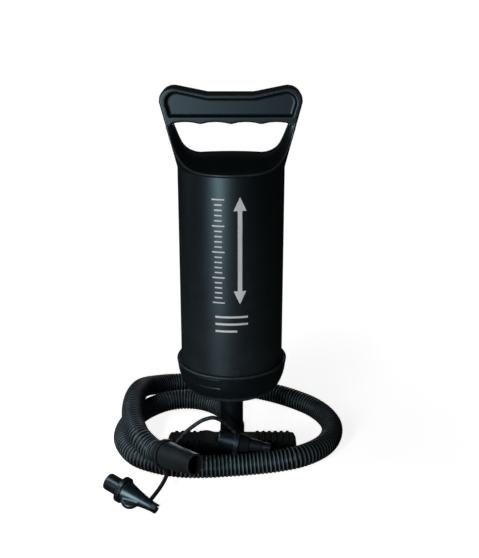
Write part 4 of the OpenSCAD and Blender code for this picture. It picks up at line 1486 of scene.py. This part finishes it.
@dataclass
class HoseAssembly(Assembly):
    """The ribbed hose with its two cuffs, and the tether with both valve nozzles."""

    port: Place = (0.0, 38.4625, 11.2)
    free_at: Place = (-54.2, -34.6, 26.6)
    free_az: float = -47.0
    free_el: float = 10.6
    straight: float = 5.5
    socket: float = 12.0
    pump_cuff: Cuff = Cuff(28.0)
    free_cuff: Cuff = Cuff(42.0)
    ribs: int = 253
    rib_steps: int = 8
    sides: int = 28
    crest_r: float = 8.9
    groove_r: float = 8.15
    bore_r: float = 6.5
    tether_r: float = 1.6
    tether_rings: tuple[int, int] = (12, 4)
    tether_sides: int = 16
    tether_core_r: float = 0.2
    ring_rounding: float = 0.7
    ring_steps: int = 5
    ring_sides: int = 96
    line_steps: int = 10
    tether_steps: int = 8
    ring: tuple[Point, Point] = ((9.95, 3.55), (11.75, 7.45))
    route: Sequence[Place] = (
        (-4.5, 63.5, 10.6), (-14, 78, 9.9), (-28, 88.5, 9.3), (-44.5, 91.5, 9), (-61, 86.5, 9), (-75, 74, 9),
        (-85, 57.5, 9), (-90, 39, 9), (-90.2, 20.6, 9), (-84.5, 3.9, 9), (-74.9, -9.6, 9), (-60, -18.6, 9),
        (-42, -24.6, 9), (-22.5, -25.7, 9), (-3.5, -23.8, 9), (15.5, -22, 9.5), (34, -20.3, 10.8),
        (51.5, -16.5, 12.2), (66, -6.5, 11.9), (77, 8, 10.6), (83.5, 25.5, 9.6), (85, 43.5, 9.1),
        (80.5, 61, 9), (71.5, 76.5, 9), (58.5, 89.5, 9), (43, 101, 9), (26.5, 110, 9), (9, 118, 9),
        (-9, 124, 9), (-27.5, 127, 9), (-45, 125.5, 9.6), (-60.5, 119, 11.8), (-72, 107.5, 15.8),
        (-79.5, 92.5, 21.2), (-83, 75, 26), (-84.8, 56, 28.2), (-84.5, 37, 28.5), (-82.3, 19.5, 28.7),
        (-78.2, 2, 28.8), (-71.4, -15.5, 28.4),
    )  # fmt: skip
    long_route: Sequence[Place] = (
        (-43.6, -31.1, 31.5), (-39.2, -27.7, 36.2), (-33.7, -24.7, 40.8), (-26, -22.6, 46),
        (-20.5, -21.5, 48.5), (-13.3, -21, 49.5), (-5.2, -20.5, 45), (3.2, -20.3, 36),
    )  # fmt: skip
    short_route: Sequence[Place] = (
        (-49.1, -40.2, 16.1), (-49.6, -46.8, 13.6), (-53.6, -56.6, 9.8), (-60.2, -69.3, 6.4),
    )  # fmt: skip

    def hose_line(self) -> list[Vector]:
        """Give the hose's middle line from the port to the free end, in metres.

        Returns:
            The line's points.
        """
        back = Vector((0, 1, 0))
        out = aim(self.free_at, self.free_az, self.free_el).to_3x3() @ Vector((0, 0, 1))
        start, end = Vector(self.port), Vector(self.free_at)
        inner = [start + self.straight * back, *self.route, end - self.straight * out]
        middle = smooth_line(inner, back, out, self.line_steps)
        return [MM * p for p in (start - self.socket * back, *middle, end + self.socket * out)]

    def tether_line(self, route: Sequence[Place]) -> list[Vector]:
        """Give a tether's middle line in metres.

        Args:
            route: The points that it goes through.

        Returns:
            The line's points.
        """
        knots = [Vector(p) for p in route]
        first, last = (knots[1] - knots[0]).normalized(), (knots[-1] - knots[-2]).normalized()
        return [MM * p for p in smooth_line(route, first, last, self.tether_steps)]

    def build(self, nozzles: "NozzleAssembly") -> None:
        """Args:
            nozzles: The nozzles that hang on the tethers.
        """
        tree = CordTree()
        line = self.hose_line()
        values = {
            "Ribs": self.ribs,
            "Steps per rib": self.rib_steps,
            "Sides": self.sides,
            "Groove radius": self.groove_r * MM,
            "Rib height": (self.crest_r - self.groove_r) * MM,
            "Bore radius": self.bore_r * MM,
            "Finish": HOSE_BLACK.material(self.effects),
        }
        hose = tree.lay("ribbed_hose", line, values)
        self.dress(hose, Body.BASE, Slot.HOSE, ["hose"])
        pump_cuff = self.pump_cuff.shell().moved(aim(self.port, -90, 0)).piece("pump_end_cuff")
        self.dress(pump_cuff, Body.BASE, Slot.SOFT_BLACK, ["pump_cuff"])
        place = aim(self.free_at, self.free_az, self.free_el)
        free_cuff = self.free_cuff.shell().moved(place).piece("free_end_cuff")
        self.dress(free_cuff, Body.BASE, Slot.SOFT_BLACK, ["free_cuff"])
        (r0, z0), (r1, z1) = self.ring
        band = Profile([(r0, z0), (r1, z0), (r1, z1), (r0, z1)], self.ring_rounding, self.ring_steps)
        ring = band.turned(self.ring_sides).moved(place).piece("tether_collar")
        self.dress(ring, Body.BASE, Slot.SOFT_BLACK, ["tether_ring"])
        rings, steps = self.tether_rings
        values = {
            "Ribs": rings,
            "Steps per rib": steps,
            "Sides": self.tether_sides,
            "Groove radius": self.tether_r * MM,
            "Rib height": 0.0,
            "Bore radius": self.tether_core_r * MM,
            "Finish": CUFF_BLACK.material(self.effects),
        }
        for node, route, nozzle in (
            ("tether_long", self.long_route, nozzles.short_piece),
            ("tether_short", self.short_route, nozzles.long_piece),
        ):
            line = self.tether_line(route)
            strap = tree.lay(f"{node}_strap", line, values)
            self.dress(strap, Body.BASE, Slot.SOFT_BLACK, [node])


@dataclass
class NozzleAssembly(Assembly):
    """The long and the short valve nozzle."""

    spigot_r: float = 6.5
    spigot_len: float = 13.0
    flange_r: float = 10.0
    flange_t: float = 3.5
    cone_r: float = 8.5
    tip_r: float = 3.7
    bore_r: float = 2.0
    long_cone: float = 29.0
    short_cone: float = 25.0
    short_steps: Sequence[Point] = ((7.6, 0.5), (6.0, 8.0), (4.9, 8.5), (4.2, 18.0), (3.5, 18.5))
    lobe_r: float = 6.5
    lobe_half: float = 2.0
    lobe_x: float = 4.5
    lobe_turn: float = -70.0
    slot_half: float = 0.9
    slot_depth: float = 3.0
    cone_pull: Point = (1.0, 0.4)
    tip_len: float = 4.0
    lobe_lift: float = 1.5
    lobe_edge: float = 1.4
    lobe_fillet: float = 1.6
    soften: float = 0.35
    hole_edge: float = 0.3
    long_at: Place = (-93.0, -53.7, 13.8)
    long_aim: Point = (-30.0, -12.8)
    short_at: Place = (-10.8, -19.4, 31.0)
    short_aim: Point = (-4.7, -9.5)
    net: float = 0.42
    net_reach: float = 12.5
    long_piece: bpy.types.Object | None = field(default=None, init=False)
    short_piece: bpy.types.Object | None = field(default=None, init=False)

    def form(self, cone: float, lobe: bool) -> Field:
        """Give the distance field of a nozzle that stands on its spigot.

        Args:
            cone: Length of its cone.
            lobe: Whether it carries the finger lobe on a smooth cone, or has a stepped one.

        Returns:
            The field.
        """
        foot = self.spigot_len + self.flange_t
        tip = foot + cone
        line = [(r, foot + h) for r, h in self.short_steps]
        if lobe:
            inward, upward = self.cone_pull
            middle = ((self.cone_r + self.tip_r) / 2 - inward, foot + cone * upward)
            line = bend((self.cone_r, foot + 1), middle, (self.tip_r, tip - self.tip_len), 8)
        section = [
            (0, 0), (self.spigot_r - 0.5, 0), (self.spigot_r, 1), (self.spigot_r, self.spigot_len),
            (self.flange_r, self.spigot_len), (self.flange_r, foot), (self.cone_r, foot), *line,
            (line[-1][0], tip), (0, tip),
        ]  # fmt: skip
        turn = math.radians(self.lobe_turn)

        def field_of(x: np.ndarray, y: np.ndarray, z: np.ndarray) -> np.ndarray:
            """Measure to the nozzle.

            Args:
                x: First coordinate of the points.
                y: Second coordinate of the points.
                z: Height of the points.

            Returns:
                The distances, negative inside.
            """
            r = np.hypot(x, y)
            body = polygon_distance(r + 0 * z, z + 0 * r, section) + self.soften
            if lobe:
                u = x * math.cos(turn) + y * math.sin(turn)
                v = y * math.cos(turn) - x * math.sin(turn)
                rise = z - (foot + self.lobe_r + self.lobe_lift)
                disc = np.hypot(u - self.lobe_x, rise) - self.lobe_r
                ear = round_max(disc, np.abs(v) - self.lobe_half, self.lobe_edge)
                body = round_min(body, ear, self.lobe_fillet)
            body = round_max(body - self.soften, self.bore_r - r, self.hole_edge)
            slot = np.maximum(np.abs(x) - self.slot_half, tip - self.slot_depth - z)
            return round_max(body, -slot, self.hole_edge)

        return field_of

    def build(self) -> None:
        """Build and dress both nozzles."""
        long_place, short_place = aim(self.long_at, *self.long_aim), aim(self.short_at, *self.short_aim)
        self.long_piece = self.make("nozzle_long", self.long_cone, True, long_place)
        self.short_piece = self.make("nozzle_short", self.short_cone, False, short_place)

    def make(self, node: str, cone: float, lobe: bool, place: Matrix) -> bpy.types.Object:
        """Mesh and dress one nozzle.

        Args:
            node: The CAD node that it stands for.
            cone: Length of its cone.
            lobe: Whether it carries the finger lobe.
            place: Where it lies.

        Returns:
            The piece.
        """
        reach = self.net_reach
        top = self.spigot_len + self.flange_t + cone + 1
        shell = surface_net(self.form(cone, lobe), (-reach, -reach, -1), (reach, reach, top), self.net)
        piece = shell.moved(place).piece(f"{node}_moulding")
        return self.dress(piece, Body.BASE, Slot.NOZZLE, [node])


@dataclass
class PrintAssembly(Assembly):
    """Plain printed marks on the barrel's front: a pumping arrow and bars."""

    radius: float = 39.0
    ink: float = 0.04
    sink: float = 0.15
    arrow_x: float = 6.5
    arrow_z: Point = (150.0, 229.0)
    shaft_w: float = 3.2
    head_half: float = 4.6
    head_len: float = 10.0
    tick_x: float = -9.0
    tick_z: float = 151.0
    tick_pitch: float = 3.8
    tick_w: Point = (5.5, 9.0)
    tick_h: float = 1.0
    ticks: int = 21
    long_every: int = 5
    half_width: float = 14.0
    bend_step: float = 1.0
    bars: Sequence[tuple[float, float, float, float]] = (
        (0.5, 140.0, 24.0, 1.6), (0.5, 134.5, 24.0, 1.6), (-3.5, 129.0, 16.0, 1.6),
    )  # fmt: skip

    def outlines(self) -> list[list[Point]]:
        """Draw the marks in millimetres round and up the barrel, each a convex outline.

        Returns:
            The outlines.
        """
        x, (low, high) = self.arrow_x, self.arrow_z
        half, head = self.head_half, self.head_len
        marks = [self.bar(x, (low + high) / 2, self.shaft_w, high - low - 2 * head)]
        marks.append([(x - half, high - head), (x + half, high - head), (x, high)])
        marks.append([(x, low), (x + half, low + head), (x - half, low + head)])
        marks += [self.bar(*bar) for bar in self.bars]
        short, long = self.tick_w
        for i in range(self.ticks):
            width = short if i % self.long_every else long
            marks.append(self.bar(self.tick_x, self.tick_z + i * self.tick_pitch, width, self.tick_h))
        return marks

    @staticmethod
    def bar(x: float, z: float, width: float, height: float) -> list[Point]:
        """Draw a bar round its middle."""
        w, h = width / 2, height / 2
        return [(x - w, z - h), (x + w, z - h), (x + w, z + h), (x - w, z + h)]

    def build(self) -> None:
        """Wrap the marks round the barrel and dress them."""
        bm = bmesh.new()
        for outline in self.outlines():
            bm.faces.new([bm.verts.new((x, 0, z)) for x, z in outline])
        half, step = self.half_width, self.bend_step
        for x in np.arange(-half, half + step / 2, step):
            geometry = bm.verts[:] + bm.edges[:] + bm.faces[:]
            bmesh.ops.bisect_plane(bm, geom=geometry, plane_co=(x, 0, 0), plane_no=(1, 0, 0))
        top = bmesh.ops.extrude_face_region(bm, geom=bm.faces[:])["geom"]
        raised = {v for v in top if isinstance(v, bmesh.types.BMVert)}
        for v in bm.verts:
            r = self.radius + (self.ink if v in raised else -self.sink)
            angle = v.co.x / self.radius
            v.co = Vector((r * math.sin(angle), -r * math.cos(angle), v.co.z)) * MM
        bmesh.ops.recalc_face_normals(bm, faces=bm.faces)
        mesh = bpy.data.meshes.new("printed_marks")
        bm.to_mesh(mesh)
        bm.free()
        marks = linked("printed_marks", mesh)
        self.dress(marks, Body.BARREL, Slot.BLACK_SHELL, finish=PRINT_WHITE)


@dataclass
class CarriedNodes(Assembly):
    """CAD nodes whose shape is right, which keep it and get a finish."""

    weld_gap: float = 1e-6
    crease: float = 32.0

    def build(self, frame: dict) -> None:
        """Give every CAD node that still shows its slot's finish."""
        slots = {part["node"]: Slot(part["material_slot"]) for part in frame["record"]["subparts"]}
        for name, obj in frame["nodes"].items():
            if obj.hide_render:
                continue
            obj.data.materials.clear()
            obj.data.materials.append(SLOT_FINISH[slots[name]].material(self.effects))
            obj.data.shade_smooth()
            weld = obj.modifiers.new("weld", "WELD")
            weld.merge_threshold = self.weld_gap
            split = obj.modifiers.new("crease", "EDGE_SPLIT")
            split.split_angle = math.radians(self.crease)
            LOG.info("%s: CAD node in %s", name, slots[name].value)


@dataclass(frozen=True)
class Lamp:
    """A soft box that faces a target, with a grid where its beam is narrow."""

    name: str
    at: Place
    target: Place
    size: Point
    power: float
    beam: float = 180.0

    def hang(self) -> None:
        """Put the lamp into the scene."""
        data = bpy.data.lights.new(self.name, "AREA")
        data.shape = "RECTANGLE"
        data.size, data.size_y = self.size
        data.energy = self.power
        data.spread = math.radians(self.beam)
        obj = linked(self.name, data)
        obj.location = self.at
        obj.rotation_euler = (Vector(self.target) - Vector(self.at)).to_track_quat("-Z", "Y").to_euler()


@dataclass
class Studio:
    """Camera, soft light and a pale floor, in metres."""

    eye: Place = (0.0061, -0.625, 0.369)
    pitch: float = 71.19
    sensor: float = 36.0
    focal_px: float = 870.0
    image_px: float = 558.0
    nearest: float = 0.02
    gloss_share: float = 0.015
    fill: Colour = (0.85, 0.95, 1.0)
    fill_strength: float = 0.012
    floor_half: float = 4.0
    floor_cells: int = 8
    floor_z: float = -0.0004
    floor_dark: float = 0.03
    floor_pale: float = 0.82
    shadow_reach: Point = (0.12, 0.4)
    shadow_glow: float = 0.88
    lamps: Sequence[Lamp] = (
        Lamp("key", (-0.325, -0.709, 0.25), (0, 0, 0.25), (0.15, 0.46), 3.7),
        Lamp("back", (0.0, 0.77, 0.07), (0, 0, 0.24), (0.24, 0.12), 0.085, 46),
        Lamp("hose", (-0.42, -0.12, 0.6), (-0.1, -0.01, 0.0), (0.16, 0.16), 0.045, 28),
        Lamp("side", (-0.8, 0.1, 0.3), (0, 0, 0.15), (0.3, 0.4), 0.22),
    )

    def camera(self) -> None:
        """Set the camera to the photograph's viewpoint."""
        data = bpy.data.cameras.new("camera")
        data.sensor_width = self.sensor
        data.lens = self.focal_px * self.sensor / self.image_px
        data.clip_start = self.nearest
        obj = linked("camera", data)
        obj.location = self.eye
        obj.rotation_euler = (math.radians(self.pitch), 0, 0)
        bpy.context.scene.camera = obj

    def shown(self, t: NodeTree) -> bpy.types.NodeSocket:
        """Give how much of the white background a ray sees: all of it, or a gloss's share.

        Args:
            t: The tree that asks.

        Returns:
            The share.
        """
        rays = t.add("ShaderNodeLightPath").outputs
        gloss = t.math("MULTIPLY", rays["Is Glossy Ray"], self.gloss_share)
        direct = t.math("MAXIMUM", rays["Is Camera Ray"], rays["Is Transmission Ray"])
        return t.math("MAXIMUM", direct, gloss)

    def world(self) -> None:
        """Show white behind the pump and light it evenly."""
        scene = bpy.context.scene
        scene.view_settings.view_transform = "Standard"
        scene.world = bpy.data.worlds.new("studio")
        scene.world.use_nodes = True
        scene.world.node_tree.nodes.clear()
        t = NodeTree(scene.world.node_tree)
        fill = t.add("ShaderNodeBackground", {"Color": (*self.fill, 1), "Strength": self.fill_strength})
        white = t.add("ShaderNodeBackground", {"Color": (1, 1, 1, 1)})
        mix = t.add("ShaderNodeMixShader", {0: self.shown(t), 1: fill.outputs[0], 2: white.outputs[0]})
        t.add("ShaderNodeOutputWorld", {0: mix.outputs[0]})

    def floor_finish(self) -> bpy.types.Material:
        """Make the floor's material, which is white to the camera and keeps the shadow.

        Returns:
            The material.
        """
        mat, t = bare_material("pale_floor")
        seen = self.shown(t)
        dark, pale = ((c, c, c, 1) for c in (self.floor_dark, self.floor_pale))
        where = t.add("ShaderNodeTexCoord").outputs["Object"]
        reach = t.add("ShaderNodeVectorMath", {0: where}, operation="LENGTH").outputs["Value"]
        near, far = self.shadow_reach
        # Painted glow: the floor's own glow is weaker near the pump, where the lamps' shadow shows, and
        # rises to full white further out, where the lamps light it less.
        fade = {"Value": reach, "From Min": near, "From Max": far, "To Min": self.shadow_glow, "To Max": 1}
        glow = t.add("ShaderNodeMapRange", fade, interpolation_type="SMOOTHSTEP").outputs["Result"]
        shade = t.add(
            "ShaderNodeBsdfPrincipled",
            {
                "Base Color": t.mix("MIX", seen, dark, pale),
                "Roughness": 0.9,
                "Specular IOR Level": 0.1,
                "Emission Color": (1, 1, 1, 1),
                "Emission Strength": t.math("MULTIPLY", seen, glow),
            },
        )
        t.add("ShaderNodeOutputMaterial", {0: shade.outputs[0]})
        return mat

    def floor(self) -> None:
        """Lay the floor."""
        cells = self.floor_cells
        bm = bmesh.new()
        bmesh.ops.create_grid(bm, x_segments=cells, y_segments=cells, size=self.floor_half)
        mesh = bpy.data.meshes.new("floor")
        bm.to_mesh(mesh)
        bm.free()
        obj = linked("floor", mesh)
        obj.location.z = self.floor_z
        mesh.materials.append(self.floor_finish())

    def light(self) -> None:
        """Hang the lamps."""
        for lamp in self.lamps:
            lamp.hang()


def main() -> None:
    """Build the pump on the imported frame."""
    logging.basicConfig(level=logging.INFO, format="%(name)s %(message)s")
    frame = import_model()
    studio = Studio()
    studio.camera()
    effects = Effects()
    nozzles = NozzleAssembly(effects)
    nozzles.build()
    HoseAssembly(effects).build(nozzles)
    BarrelAssembly(effects).build()
    CapAssembly(effects).build()
    StemAssembly(effects).build()
    FootAssembly(effects).build()
    PrintAssembly(effects).build()
    CarriedNodes(effects).build(frame)
    studio.world()
    studio.floor()
    studio.light()


if __name__ == "__main__":
    main()
